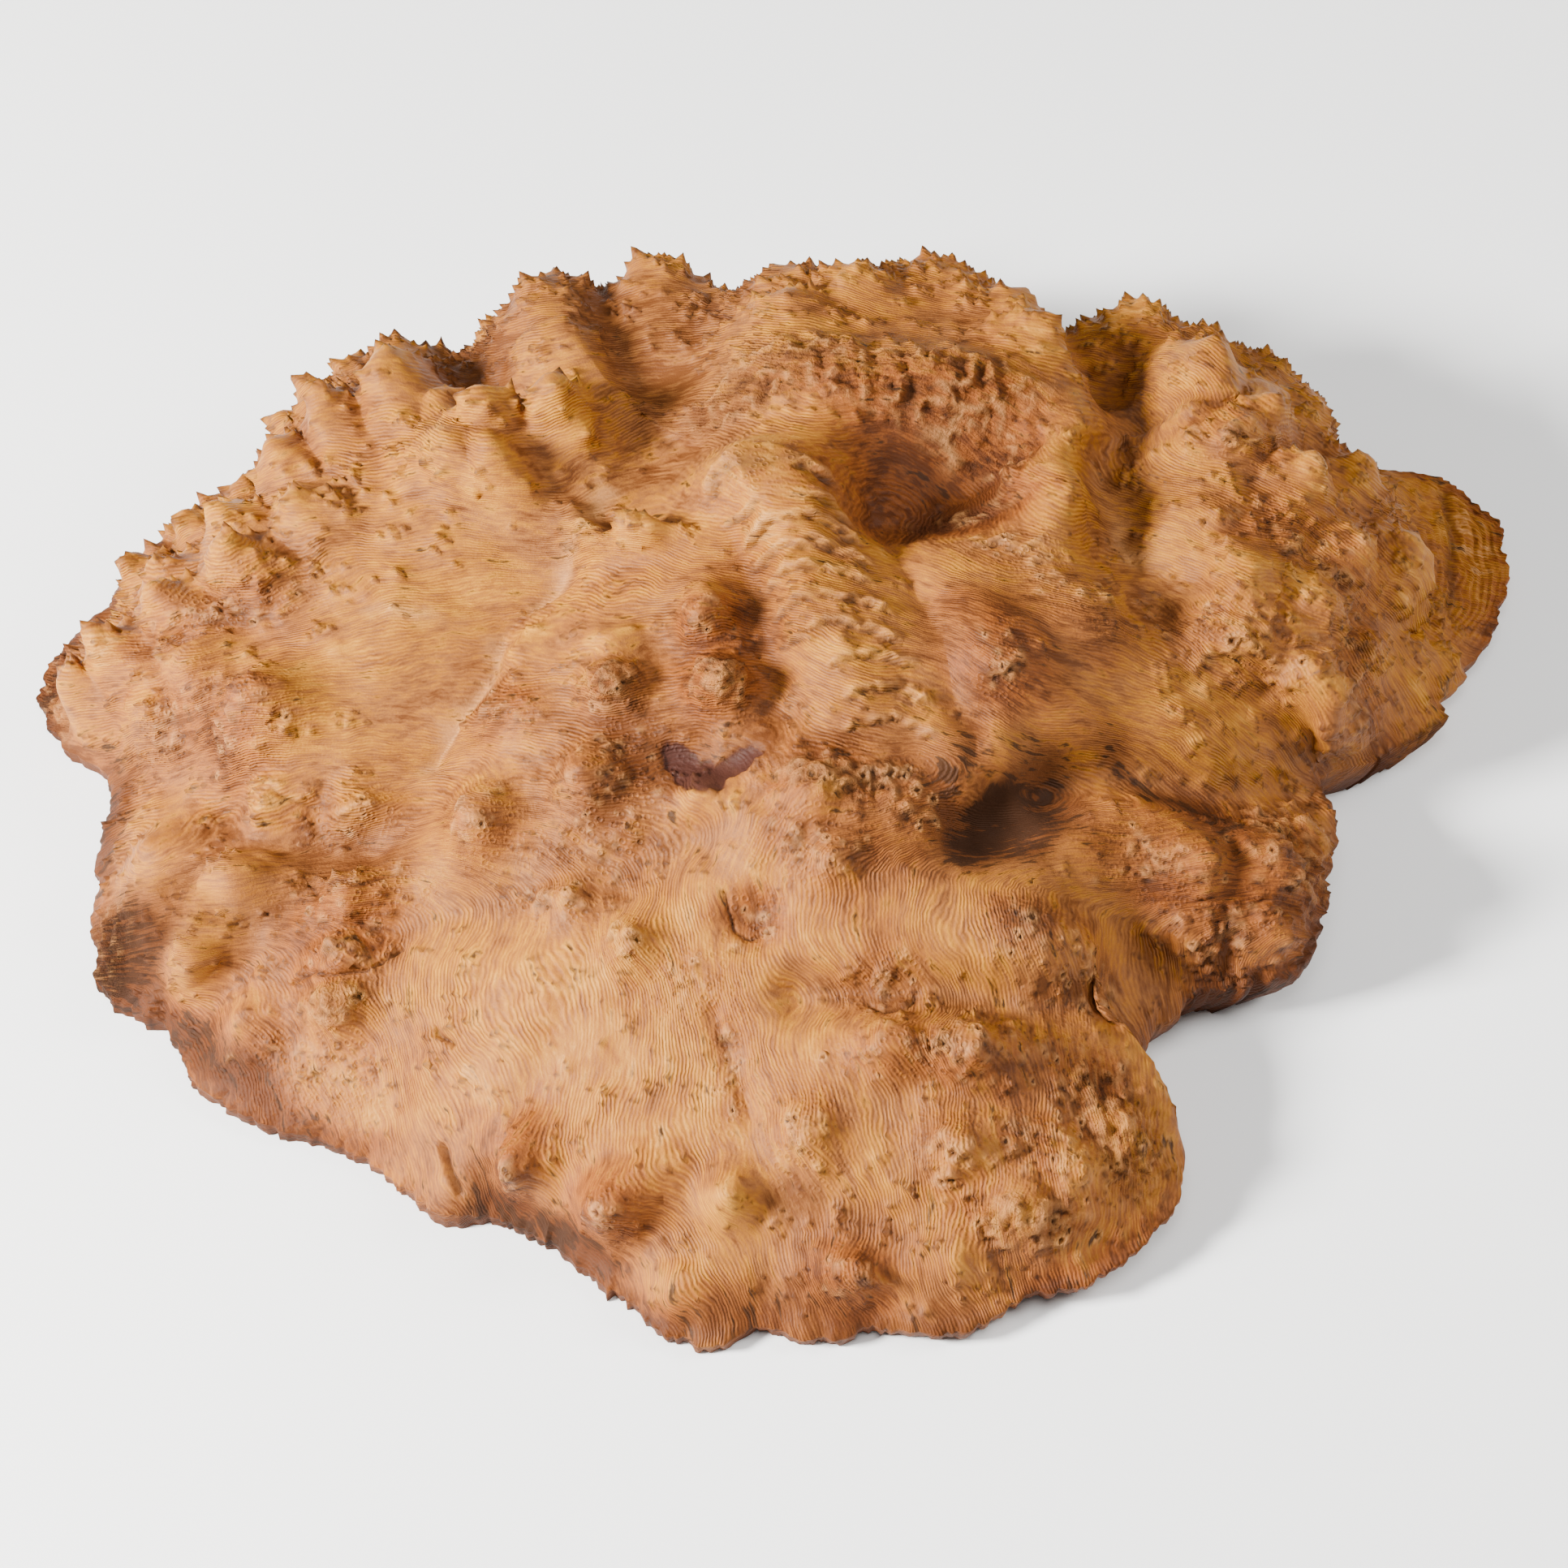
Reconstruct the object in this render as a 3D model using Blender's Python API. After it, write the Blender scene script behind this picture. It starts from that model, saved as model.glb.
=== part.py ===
"""Mallee burl cap: one natural slab of burl, lying on its flat sawn face.

Sizes are real sizes in millimetres and become metres when the solid is made. X runs along the longest
spread, Y across it and Z up from the sawn face. A place (a, b) is a place on the outer skin laid flat
around the crown, so that places on the steep back wall have room of their own.
"""
import bmesh
import bpy
import numpy as np

MM = 0.001
NODE = "burl_cap"
CELLS = 70
SEED = 1907

# Sanded honey-coloured burl wood
WOOD_COLOUR = (0.56, 0.31, 0.13, 1.0)
WOOD_ROUGHNESS = 0.58

# The crown of the dome and the mean reach of the cap around it
CROWN = (15.0, 50.0)
SUMMIT = 91.0
MEAN_REACH = 185.0
CALMING_DEGREES = 20.0
CALMING_TAIL = 60

# How soon the dome takes the rim's shape, and how much fuller and steeper it falls on the steep sides
ROUND_MIDDLE = 1.15
RIM_PULL = 12
STEEP_POWER = 1.5
STEEP_FULL = 0.42

# The rim, counter-clockwise from the right: x, y, height of the lip, undercut of the edge, steepness above it
OUTLINE = (
    ("flange_low", 203, 53, 10, 8, 0.3),
    ("flange_bulge", 218, 82, 10, 5, 0.4),
    ("flange_tip", 221, 102, 9, 4, 0.4),
    ("flange_top", 219, 118, 10, 3, 0.4),
    ("flange_back", 208, 129, 12, 3, 0.5),
    ("flange_root", 191, 135, 12, 3, 0.6),
    ("right_back_knee", 176, 138, 9, 2, 0.8),
    ("right_back_rise", 160, 152, 8, 1, 0.9),
    ("right_back_lobe", 136, 166, 8, 1, 1.0),
    ("right_back_dip", 106, 175, 8, 1, 1.0),
    ("back_notch_right", 82, 174, 7, 1, 1.0),
    ("back_crest_right", 50, 190, 7, 1, 1.0),
    ("back_crest", 15, 188, 7, 1, 1.0),
    ("back_dip", -18, 180, 7, 1, 1.0),
    ("back_knuckle_far", -44, 191, 7, 1, 1.0),
    ("back_knuckle_near", -74, 187, 7, 1, 1.0),
    ("back_notch_left", -96, 167, 7, 1, 1.0),
    ("left_back_knuckle", -121, 173, 7, 1, 1.0),
    ("left_back_dip", -146, 153, 7, 1, 0.9),
    ("left_back_shoulder", -168, 134, 7, 1, 0.8),
    ("left_back_fall", -189, 110, 6, 1, 0.6),
    ("left_shoulder", -207, 82, 6, 1, 0.4),
    ("left_tip_top", -220, 62, 5, 1, 0.3),
    ("left_tip", -222, 48, 5, 1, 0.2),
    ("left_tip_low", -213, 32, 5, 1, 0.1),
    ("left_bay", -199, 20, 5, 0, 0.1),
    ("left_bay_low", -197, 4, 5, 0, 0.1),
    ("left_step", -198, -10, 6, 0, 0.1),
    ("left_heel", -198, -38, 6, 0, 0.1),
    ("left_heel_low", -190, -60, 6, 0, 0.1),
    ("front_left_bay", -172, -71, 5, 0, 0.0),
    ("front_left_knee", -160, -92, 5, 0, 0.0),
    ("front_left_run", -136, -105, 5, 0, 0.0),
    ("front_left_hip", -109, -118, 5, 0, 0.0),
    ("curl_left", -99, -128, 6, 0, 0.0),
    ("curl_tip", -90, -135, 7, 0, 0.0),
    ("curl_right", -80, -133, 5, 0, 0.0),
    ("front_bark", -62, -143, 5, 0, 0.0),
    ("front_left_nose", -42, -159, 5, 0, 0.0),
    ("front_nose", -28, -172, 5, 1, 0.0),
    ("front_nose_right", -16, -174, 5, 1, 0.0),
    ("front_dent", -6, -169, 5, 1, 0.0),
    ("front_tooth", 8, -173, 5, 1, 0.0),
    ("front_bay", 24, -169, 6, 2, 0.0),
    ("front_right_lip", 42, -171, 7, 3, 0.0),
    ("front_right_tooth", 56, -169, 8, 4, 0.0),
    ("front_right_notch", 63, -163, 9, 5, 0.0),
    ("front_right_jaw", 81, -158, 10, 7, 0.0),
    ("front_right_cheek", 100, -144, 12, 9, 0.0),
    ("right_front_bulge", 111, -126, 14, 9, 0.0),
    ("right_front_side", 109, -108, 15, 9, 0.0),
    ("notch_low", 102, -94, 15, 8, 0.0),
    ("notch", 103, -82, 16, 7, 0.0),
    ("notch_high", 112, -72, 17, 8, 0.0),
    ("right_low_lip", 128, -66, 20, 12, 0.0),
    ("right_low_corner", 144, -63, 20, 14, 0.0),
    ("right_low_side", 152, -47, 20, 14, 0.0),
    ("right_low_tooth", 158, -24, 20, 14, 0.1),
    ("right_low_top", 160, -4, 20, 14, 0.1),
    ("right_notch", 156, 9, 18, 10, 0.1),
    ("right_lobe_lip", 171, 17, 16, 10, 0.1),
    ("right_lobe_cheek", 184, 28, 14, 9, 0.2),
)

# Mounds and hollows: place (a, b), half-lengths along and across, turn in degrees, height
MOUNDS = (
    ("left_lobe", -158, 48, 62, 34, 12, 9),
    ("left_round", -143, 10, 24, 20, 0, 7),
    ("left_back_slope", -160, 105, 62, 32, 26, -11),
    ("left_heel", -168, -38, 30, 24, -20, 5),
    ("left_mid", -121, -52, 26, 20, 0, 4),
    ("front_left_mound", -122, -76, 16, 10, 0, 3.5),
    ("crusted_left", 2, 91, 22, 16, 0, 8),
    ("crusted_right", 37, 85, 24, 13, 0, 8),
    ("bowl", 38, 62, 24, 20, 20, -17),
    ("bowl_wall", 68, 62, 10, 22, 10, 7),
    ("bowl_lip_left", 14, 66, 9, 14, 0, 3),
    ("rib_head", 2, 54, 20, 16, 0, 6),
    ("back_slope", -20, 84, 22, 26, 30, -7),
    ("lone_knob", -48, 47, 12, 10, 0, 9),
    ("lone_knob_right", -33, 47, 8, 7, 0, 5),
    ("spiked_knob_a", -59, 86, 14, 11, 0, 8),
    ("spiked_knob_b", -40, 83, 10, 9, 0, 7),
    ("spiked_knob_c", -62, 71, 14, 10, 0, 7),
    ("spiked_knob_d", -76, 78, 11, 9, 0, 5),
    ("eye", -78, -3, 15, 14, 0, 4.5),
    ("knob_a", -47, -2, 11, 10, 0, 5),
    ("knob_b", -17, -6, 12, 11, 0, 6),
    ("knob_c", -20, 17, 10, 12, 0, 6),
    ("ring_mound", 59, 4, 25, 22, 0, 10),
    ("ring_back", 82, 22, 16, 14, 0, 5),
    ("right_lobe", 122, 78, 52, 30, -20, 8),
    ("right_lobe_front", 130, 38, 40, 22, -15, 8),
    ("right_lobe_low", 150, 22, 26, 14, -20, 5),
    ("dark_hollow", 62, -43, 22, 15, 25, -11),
    ("middle_shelf", 10, -42, 40, 26, 0, 5),
    ("purple_dip", -22, -30, 16, 10, -10, -4),
    ("lower_right", 132, -42, 32, 24, 0, 10),
    ("lower_right_knob", 74, -74, 20, 15, 0, 6),
    ("notch_fall", 98, -66, 24, 26, 30, -8),
    ("hook_pit", -7, -72, 10, 9, 0, -4),
    ("bottom_ridge", 42, -103, 30, 10, 0, 6),
    ("bottom_right", 58, -132, 50, 30, -10, 9),
    ("bottom_left", -46, -128, 44, 22, -18, 6),
    ("bottom_middle", 8, -122, 22, 20, 0, 5),
    ("plain", -62, -88, 38, 24, 0, 3),
    ("front_bulge", -22, -158, 22, 10, 0, 4),
    ("front_bulge_right", 22, -158, 18, 9, 0, 4),
    ("front_knob_a", -72, -122, 11, 9, 0, 4),
    ("front_knob_b", -45, -137, 10, 9, 0, 4),
    ("front_knob_c", -33, -133, 8, 8, 0, 3),
    ("front_knob_d", -12, -139, 9, 8, 0, 3.5),
    ("centre_knob_a", -84, -34, 12, 14, 0, 4),
    ("centre_knob_b", -52, -30, 12, 14, 0, 4),
    ("left_knob_a", -150, -40, 12, 10, 0, 4),
    ("left_knob_b", -162, -56, 12, 9, 0, 4),
    ("left_knob_c", -116, -25, 12, 10, 0, 4),
    ("curl", -92, -128, 10, 7, -30, 3),
)

# Tents: steep knuckles with hollow flanks and a blunt top: place (a, b), reach, height
TENTS = (
    ("knuckle_left", -52, 134, 38, 9.5),
    ("knuckle_left_front", -46, 108, 22, 6),
    ("knuckle_right", -26, 142, 28, 11),
    ("knuckle_low", -68, 100, 16, 7),
    ("back_mound_a", 4, 134, 22, 5.5),
    ("back_mound_b", 20, 124, 17, 8),
    ("back_mound_c", 40, 138, 26, 8),
    ("back_mound_d", 58, 124, 20, 7),
    ("back_mound_e", 6, 112, 15, 6.5),
    ("back_mound_f", 58, 106, 15, 8),
    ("left_ridge_a", -89, 138, 24, 11),
    ("left_ridge_b", -106, 136, 20, 10),
    ("left_ridge_c", -121, 130, 19, 10),
    ("left_ridge_d", -134, 126, 17, 11),
    ("left_ridge_e", -152, 112, 17, 7.5),
    ("left_ridge_f", -171, 104, 17, 10),
    ("left_ridge_g", -188, 90, 17, 11),
    ("left_inner_a", -84, 106, 20, 12),
    ("left_inner_b", -104, 102, 20, 12),
    ("left_inner_c", -122, 94, 19, 12),
    ("left_inner_d", -143, 78, 18, 10.5),
    ("left_inner_e", -168, 71, 17, 9),
    ("right_crest_a", 88, 138, 24, 8),
    ("right_crest_b", 106, 128, 20, 5),
    ("right_crest_c", 124, 128, 22, 6),
    ("right_crest_d", 136, 110, 20, 5),
    ("right_crest_e", 151, 92, 18, 11),
    ("right_crest_f", 166, 70, 17, 10),
    ("right_inner_a", 98, 104, 20, 9),
    ("right_inner_b", 118, 96, 20, 9),
    ("back_wall_a", -84, 160, 24, 7),
    ("back_wall_b", -38, 168, 26, 7),
    ("back_wall_c", 22, 166, 26, 7),
    ("back_wall_d", 66, 160, 24, 7),
    ("back_wall_e", 112, 152, 24, 7),
    ("back_wall_f", 152, 124, 20, 5),
    ("spike_a", -57, 86, 11, 9),
    ("spike_b", -40, 86, 10, 9),
    ("spike_c", -59, 73, 11, 6.5),
    ("spike_d", -70, 77, 11, 5.5),
    ("spike_e", -47, 57, 10, 6.5),
    ("spike_f", -37, 47, 10, 5.5),
    ("left_lobe_a", -199, 40, 15, 7),
    ("left_lobe_b", -183, 46, 17, 10),
    ("left_lobe_c", -162, 52, 19, 11.5),
    ("left_lobe_d", -139, 58, 19, 11.5),
    ("left_lobe_e", -118, 72, 17, 8.5),
    ("left_lobe_f", -159, 24, 18, 8.5),
    ("left_lobe_g", -139, 8, 20, 10),
    ("left_lobe_h", -176, 20, 16, 7),
    ("left_middle_a", -141, -18, 16, 7),
    ("left_middle_b", -118, -23, 14, 5.5),
    ("left_middle_c", -172, -24, 16, 7),
    ("left_middle_d", -146, -39, 15, 7),
    ("left_middle_e", -118, -51, 14, 5.5),
    ("left_middle_f", -160, -57, 15, 7),
    ("left_middle_g", -120, -66, 13, 5.5),
    ("left_middle_h", -121, -80, 13, 5.5),
    ("left_middle_i", -148, -76, 14, 5.5),
    ("right_lobe_a", 112, 86, 17, 8.5),
    ("right_lobe_b", 131, 78, 17, 8.5),
    ("right_lobe_c", 150, 62, 16, 7),
    ("right_lobe_d", 119, 42, 16, 7),
    ("right_lobe_e", 141, 41, 16, 8.5),
    ("right_lobe_f", 121, 22, 15, 6),
    ("right_lobe_g", 146, 20, 15, 6),
    ("right_lobe_h", 160, 38, 15, 6),
    ("lower_right_a", 112, -43, 14, 7),
    ("lower_right_b", 131, -38, 15, 7),
    ("lower_right_c", 146, -24, 14, 5.5),
    ("lower_right_d", 112, -60, 13, 5.5),
    ("lower_right_e", 134, -57, 13, 5.5),
    ("bottom_right_a", 51, -105, 13, 5),
    ("bottom_right_b", 28, -106, 12, 5),
    ("bottom_right_c", 77, -130, 14, 5),
    ("bottom_right_d", 46, -128, 13, 5),
    ("bottom_right_e", 63, -143, 14, 5),
    ("bottom_right_f", 92, -119, 14, 5),
    ("bottom_right_g", 46, -154, 13, 5),
    ("front_a", -69, -124, 13, 6.5),
    ("front_b", -43, -139, 12, 6.5),
    ("front_c", -14, -140, 11, 5),
    ("front_d", 18, -157, 12, 5),
    ("front_e", -28, -163, 11, 5),
    ("front_f", 8, -127, 11, 4),
    ("middle_a", 10, -41, 13, 5.5),
    ("middle_b", 14, -58, 12, 4),
    ("middle_c", -22, -38, 12, 5.5),
    ("middle_d", -40, -76, 12, 5.5),
    ("middle_e", -83, -38, 13, 5.5),
    ("middle_f", -59, -61, 12, 5.5),
    ("middle_g", -53, -31, 13, 5.5),
    ("middle_h", -46, -6, 12, 5.5),
    ("middle_i", -16, -10, 12, 5.5),
    ("middle_j", -21, 11, 11, 5.5),
    ("middle_k", -46, 10, 11, 4),
    ("middle_l", -72, 16, 12, 4),
)

# Ribs: places along the line, half-width, height
RIBS = (
    ("centre_rib", ((-2, 56), (4, 34), (10, 12), (18, -8)), 17, 6),
    ("left_front_rib", ((-196, 40), (-176, 34), (-158, 30)), 12, 4),
    ("right_lobe_edge", ((100, 44), (122, 30), (150, 14), (168, 20)), 9, 4),
    ("hollow_rim", ((46, -22), (52, -34), (60, -26)), 9, 4),
)

# Grooves: places along the line, half-width, depth, sharpness from round to a fine crease
GROOVES = (
    ("left_valley", ((-14, 84), (-31, 68), (-52, 52), (-79, 33), (-88, 12), (-98, -9), (-112, -24)),
     22, 11, 0.0),
    ("left_crease", ((-48, 56), (-66, 42), (-79, 31), (-82, 16), (-90, 3), (-98, -9)), 7, 3.5, 1.0),
    ("right_valley", ((74, 112), (78, 92), (85, 70), (88, 52), (104, 38)), 14, 11, 0.0),
    ("right_band", ((90, 56), (97, 46), (112, 40)), 6, 3, 1.0),
    ("rib_right", ((22, 58), (31, 43), (38, 23), (45, 4), (49, -17)), 9, 4, 0.6),
    ("rib_left", ((-10, 46), (-8, 26), (-4, 4), (0, -14)), 9, 3.5, 0.0),
    ("right_groove", ((162, 4), (144, -8), (124, -19), (100, -20), (80, -28)), 11, 9, 0.0),
    ("low_groove", ((90, -84), (66, -90), (31, -93), (6, -92)), 9, 5, 0.0),
    ("front_groove", ((-110, -60), (-80, -62), (-50, -58), (-24, -50)), 13, 4, 0.0),
    ("left_gully", ((-200, 14), (-180, 8), (-165, -4), (-140, -22), (-122, -34)), 13, 5, 0.0),
    ("knuckle_gap", ((-38, 160), (-36, 140), (-32, 118), (-27, 104)), 9, 6, 0.0),
    ("left_gap", ((-106, 158), (-86, 150), (-72, 132), (-64, 112), (-58, 98)), 13, 13, 0.0),
    ("back_gap", ((-8, 176), (-10, 156), (-13, 130), (-16, 104)), 14, 7, 0.0),
    ("right_gap", ((80, 168), (74, 148), (70, 126), (74, 108)), 12, 11, 0.0),
    ("right_shoulder_gap", ((168, 134), (154, 120), (158, 104)), 11, 9, 0.0),
    ("left_shoulder_gap", ((-164, 134), (-148, 124), (-138, 112)), 13, 8, 0.0),
    ("pit_string", ((-18, -96), (-14, -106), (-10, -116), (-8, -122)), 4, 2, 1.0),
)

# Thorny belts: places along the belt, half-width, share of places with a thorn, thorn height
BELTS = (
    ("left_back_ridge", ((-206, 62), (-188, 86), (-160, 98), (-130, 112), (-104, 122), (-84, 126)),
     30, 0.95, 5.8),
    ("left_back_wall", ((-196, 96), (-168, 122), (-130, 144), (-96, 154)), 22, 0.85, 5.5),
    ("knuckles", ((-60, 134), (-44, 136), (-24, 144)), 20, 0.95, 5.5),
    ("back_wall", ((-80, 168), (-44, 172), (0, 170), (50, 170), (100, 156), (150, 132)), 30, 0.85, 5.5),
    ("back_crest", ((-2, 124), (24, 132), (46, 128), (64, 114)), 22, 0.9, 4.8),
    ("right_crest", ((86, 132), (108, 126), (132, 116), (152, 94), (168, 70), (178, 48)), 24, 0.95, 5.2),
    ("left_lobe", ((-190, 48), (-160, 52), (-130, 60), (-104, 76)), 28, 0.85, 5.5),
    ("left_spikes", ((-78, 78), (-60, 84), (-42, 84)), 14, 1.0, 6.0),
    ("lone_knob", ((-52, 48), (-34, 48)), 8, 1.0, 5.0),
    ("crusted_mounds", ((-6, 92), (14, 84), (36, 86), (54, 74)), 12, 0.95, 4.5),
    ("right_lobe", ((110, 84), (130, 62), (150, 40), (132, 34)), 30, 0.9, 5.0),
    ("lower_right_edge", ((160, -6), (154, -30), (150, -48), (136, -60), (120, -58)), 12, 0.95, 4.5),
    ("lower_right", ((110, -42), (140, -30)), 20, 0.5, 2.5),
    ("bottom_right", ((20, -150), (60, -150), (92, -134), (100, -112), (76, -104), (40, -104)),
     22, 0.75, 3.0),
    ("left_edge", ((-196, 16), (-192, -10), (-190, -36), (-172, -58)), 18, 0.7, 3.5),
    ("left_middle", ((-150, 10), (-140, -22), (-160, -44), (-124, -58)), 22, 0.7, 3.5),
    ("centre", ((-60, 10), (-20, 0), (8, 30), (14, -30), (-50, -34)), 26, 0.5, 2.5),
    ("front", ((-150, -60), (-110, -84), (-70, -110), (-30, -140), (10, -150)), 26, 0.35, 2.0),
)

# Falls of mounds, creases and tents from their middle, and the blunt top of a tent
MOUND_FALL = 1.4
CREASE_FALL = 1.6
TENT_TOP = 1.12
TENT_HOLLOW = 1.7
TENT_BLUNT = 2.0

# Height given to the flange that stands out beyond the right lobe, and where the lobe falls to it
LEDGE_RISE = 13.0
LEDGE_EDGE = 184.0
LEDGE_FALL = 9.0
LEDGE_BOW = 0.006
LEDGE_SLOPE = 0.14
LEDGE_Y = (50.0, 92.0, 150.0)
LEDGE_SIDES = (14.0, 16.0)

# Rim teeth: how far they stand in or out, and how far round the rim one reaches
TOOTH = 1.7
RIM_TEETH = 4 * CELLS
TOOTH_DEPTH = 40
LIP_WIDTH = 0.07

# Thorns: shift inside their cell, spread of heights, and how far the skin around is brushed toward them
THORN_SHIFT = 0.42
THORN_VARY = (0.65, 1.25)
BRUSH = 0.15

# The lattice follows the rim's bays only near it
RIM_FOLLOW = 5

# Lowest the skin comes, and the edge below the rim by shares of the lip height and of the undercut
LOWEST_SKIN = 3.6
EDGE_RINGS = ((0.45, 0.25), (1.0, 0.75))
LEAST_UNDERCUT = 0.8


def rim_numbers():
    """Bearing, reach and edge sizes of every rim place."""
    places = np.array([row[1:3] for row in OUTLINE], float) - np.array(CROWN)
    bearings = np.unwrap(np.arctan2(places[:, 1], places[:, 0]))
    return bearings, np.hypot(places[:, 0], places[:, 1]), np.array([row[3:6] for row in OUTLINE], float)


RIM_BEARINGS, RIM_REACHES, RIM_SIZES = rim_numbers()


def around(bearing, values):
    """Values given at the rim places, carried smoothly round the rim."""
    turn = 2 * np.pi
    knots = np.concatenate([RIM_BEARINGS[-3:] - turn, RIM_BEARINGS, RIM_BEARINGS[:3] + turn])
    v = np.concatenate([values[-3:], values, values[:3]])
    t = np.mod(bearing - RIM_BEARINGS[0], turn) + RIM_BEARINGS[0]
    i = np.clip(np.searchsorted(knots, t, side="right") - 1, 1, len(knots) - 3)
    width = knots[i + 1] - knots[i]
    slope_in = (v[i + 1] - v[i - 1]) / (knots[i + 1] - knots[i - 1])
    slope_out = (v[i + 2] - v[i]) / (knots[i + 2] - knots[i])
    u = (t - knots[i]) / width
    start = (2 * u**3 - 3 * u**2 + 1) * v[i] + (u**3 - 2 * u**2 + u) * width * slope_in
    end = (3 * u**2 - 2 * u**3) * v[i + 1] + (u**3 - u**2) * width * slope_out
    return start + end


def circle_table(table, bearing):
    """A round table of evenly spaced values, read at any bearing."""
    t = np.mod(bearing, 2 * np.pi) * len(table) / (2 * np.pi)
    i = np.floor(t).astype(int)
    u = t - i
    return table[i % len(table)] * (1 - u) + table[(i + 1) % len(table)] * u


def calm_reaches():
    """The rim with its bays and noses evened out, one value a degree."""
    reach = around(np.arange(360) * np.pi / 180, RIM_REACHES)
    steps = np.arange(-CALMING_TAIL, CALMING_TAIL + 1)
    weights = np.exp(-((steps / CALMING_DEGREES) ** 2))
    weights = weights / weights.sum()
    return sum(w * np.roll(reach, k) for k, w in zip(steps, weights))


CALM = calm_reaches()


def smooth(x):
    """An even step from 0 to 1."""
    x = np.clip(x, 0, 1)
    return x * x * (3 - 2 * x)


def line_distance(a, b, line):
    """Distance of places to a line through the given places."""
    best = np.full(np.shape(a), 1e9)
    for (x0, y0), (x1, y1) in zip(line[:-1], line[1:]):
        dx, dy = x1 - x0, y1 - y0
        t = np.clip(((a - x0) * dx + (b - y0) * dy) / (dx * dx + dy * dy), 0, 1)
        best = np.minimum(best, np.hypot(a - x0 - t * dx, b - y0 - t * dy))
    return best


def dome(a, b):
    """Points of the smooth dome under places on the skin, and their share of the way out to the rim."""
    dx, dy = a - CROWN[0], b - CROWN[1]
    bearing = np.arctan2(dy, dx)
    reach = around(bearing, RIM_REACHES)
    share = np.clip(np.hypot(dx, dy) / reach, 0, 1)
    lip = around(bearing, RIM_SIZES[:, 0])
    steep = np.clip(around(bearing, RIM_SIZES[:, 2]), 0, 1)
    r = reach * (share + steep * (np.sin(np.pi / 2 * share) - share))
    calm = circle_table(CALM, bearing)
    middle = smooth(share * ROUND_MIDDLE)
    t = r / (MEAN_REACH + (calm - MEAN_REACH) * middle + (reach - calm) * share**RIM_PULL)
    steep = steep * middle
    fall = np.clip(1 - t ** (2.0 + STEEP_POWER * steep), 0, 1) ** (1.0 - STEEP_FULL * steep)
    x = CROWN[0] + r * np.cos(bearing)
    y = CROWN[1] + r * np.sin(bearing)
    z = lip + (SUMMIT - lip) * fall
    sector = smooth((y - LEDGE_Y[0]) / LEDGE_SIDES[0]) * smooth((LEDGE_Y[2] - y) / LEDGE_SIDES[1])
    beyond = smooth((x - LEDGE_EDGE + LEDGE_BOW * (y - LEDGE_Y[1]) ** 2) / LEDGE_FALL) * sector
    ledge = lip + LEDGE_RISE * (1 - t) / LEDGE_SLOPE
    z = z + beyond * (np.minimum(z, ledge) - z)
    return np.stack([x, y, z], -1), share


def relief(a, b):
    """Height of mounds, tents, ribs and grooves off the dome."""
    height = np.zeros(np.shape(a))
    for _, x, y, along, across, turn, rise in MOUNDS:
        c, s = np.cos(np.radians(turn)), np.sin(np.radians(turn))
        u = ((a - x) * c + (b - y) * s) / along
        v = ((b - y) * c - (a - x) * s) / across
        height = height + rise * np.exp(-MOUND_FALL * (u * u + v * v))
    for _, line, width, rise in RIBS:
        d = line_distance(a, b, line) / width
        height = height + rise * np.exp(-MOUND_FALL * d * d)
    for _, line, width, depth, crease in GROOVES:
        d = line_distance(a, b, line) / width
        height = height - depth * (1 - crease) * np.exp(-MOUND_FALL * d * d)
        height = height - depth * crease * np.exp(-CREASE_FALL * d)
    tents = np.zeros(np.shape(a))
    for _, x, y, reach, rise in TENTS:
        d = np.sqrt((a - x) ** 2 + (b - y) ** 2 + TENT_BLUNT**2) / reach
        tents = np.maximum(tents, rise * np.clip(TENT_TOP - d, 0, 1) ** TENT_HOLLOW)
    return height + tents


def unit_cross(p, q):
    """Unit normals of two sets of directions."""
    n = np.cross(p, q)
    return n / (np.linalg.norm(n, axis=-1, keepdims=True) + 1e-9)


def skin(a, b):
    """Points of the skin with its lobes."""
    points, share = dome(a, b)
    across = dome(a + 1.0, b)[0] - dome(a - 1.0, b)[0]
    along = dome(a, b + 1.0)[0] - dome(a, b - 1.0)[0]
    height = relief(a, b) * smooth((1 - share) / LIP_WIDTH)
    return points + unit_cross(across, along) * height[..., None]


def skin_normal(a, b):
    """Directions straight out of the skin."""
    return unit_cross(skin(a + 1.5, b) - skin(a - 1.5, b), skin(a, b + 1.5) - skin(a, b - 1.5))


def place(gx, gy):
    """Skin places of a square lattice rounded out to the rim."""
    u = gx * np.sqrt(1 - gy**2 / 2)
    v = gy * np.sqrt(1 - gx**2 / 2)
    bearing = np.arctan2(v, u)
    share = np.hypot(u, v)
    calm = circle_table(CALM, bearing)
    reach = calm * share + (around(bearing, RIM_REACHES) - calm) * share**RIM_FOLLOW
    return CROWN[0] + reach * np.cos(bearing), CROWN[1] + reach * np.sin(bearing)


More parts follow.
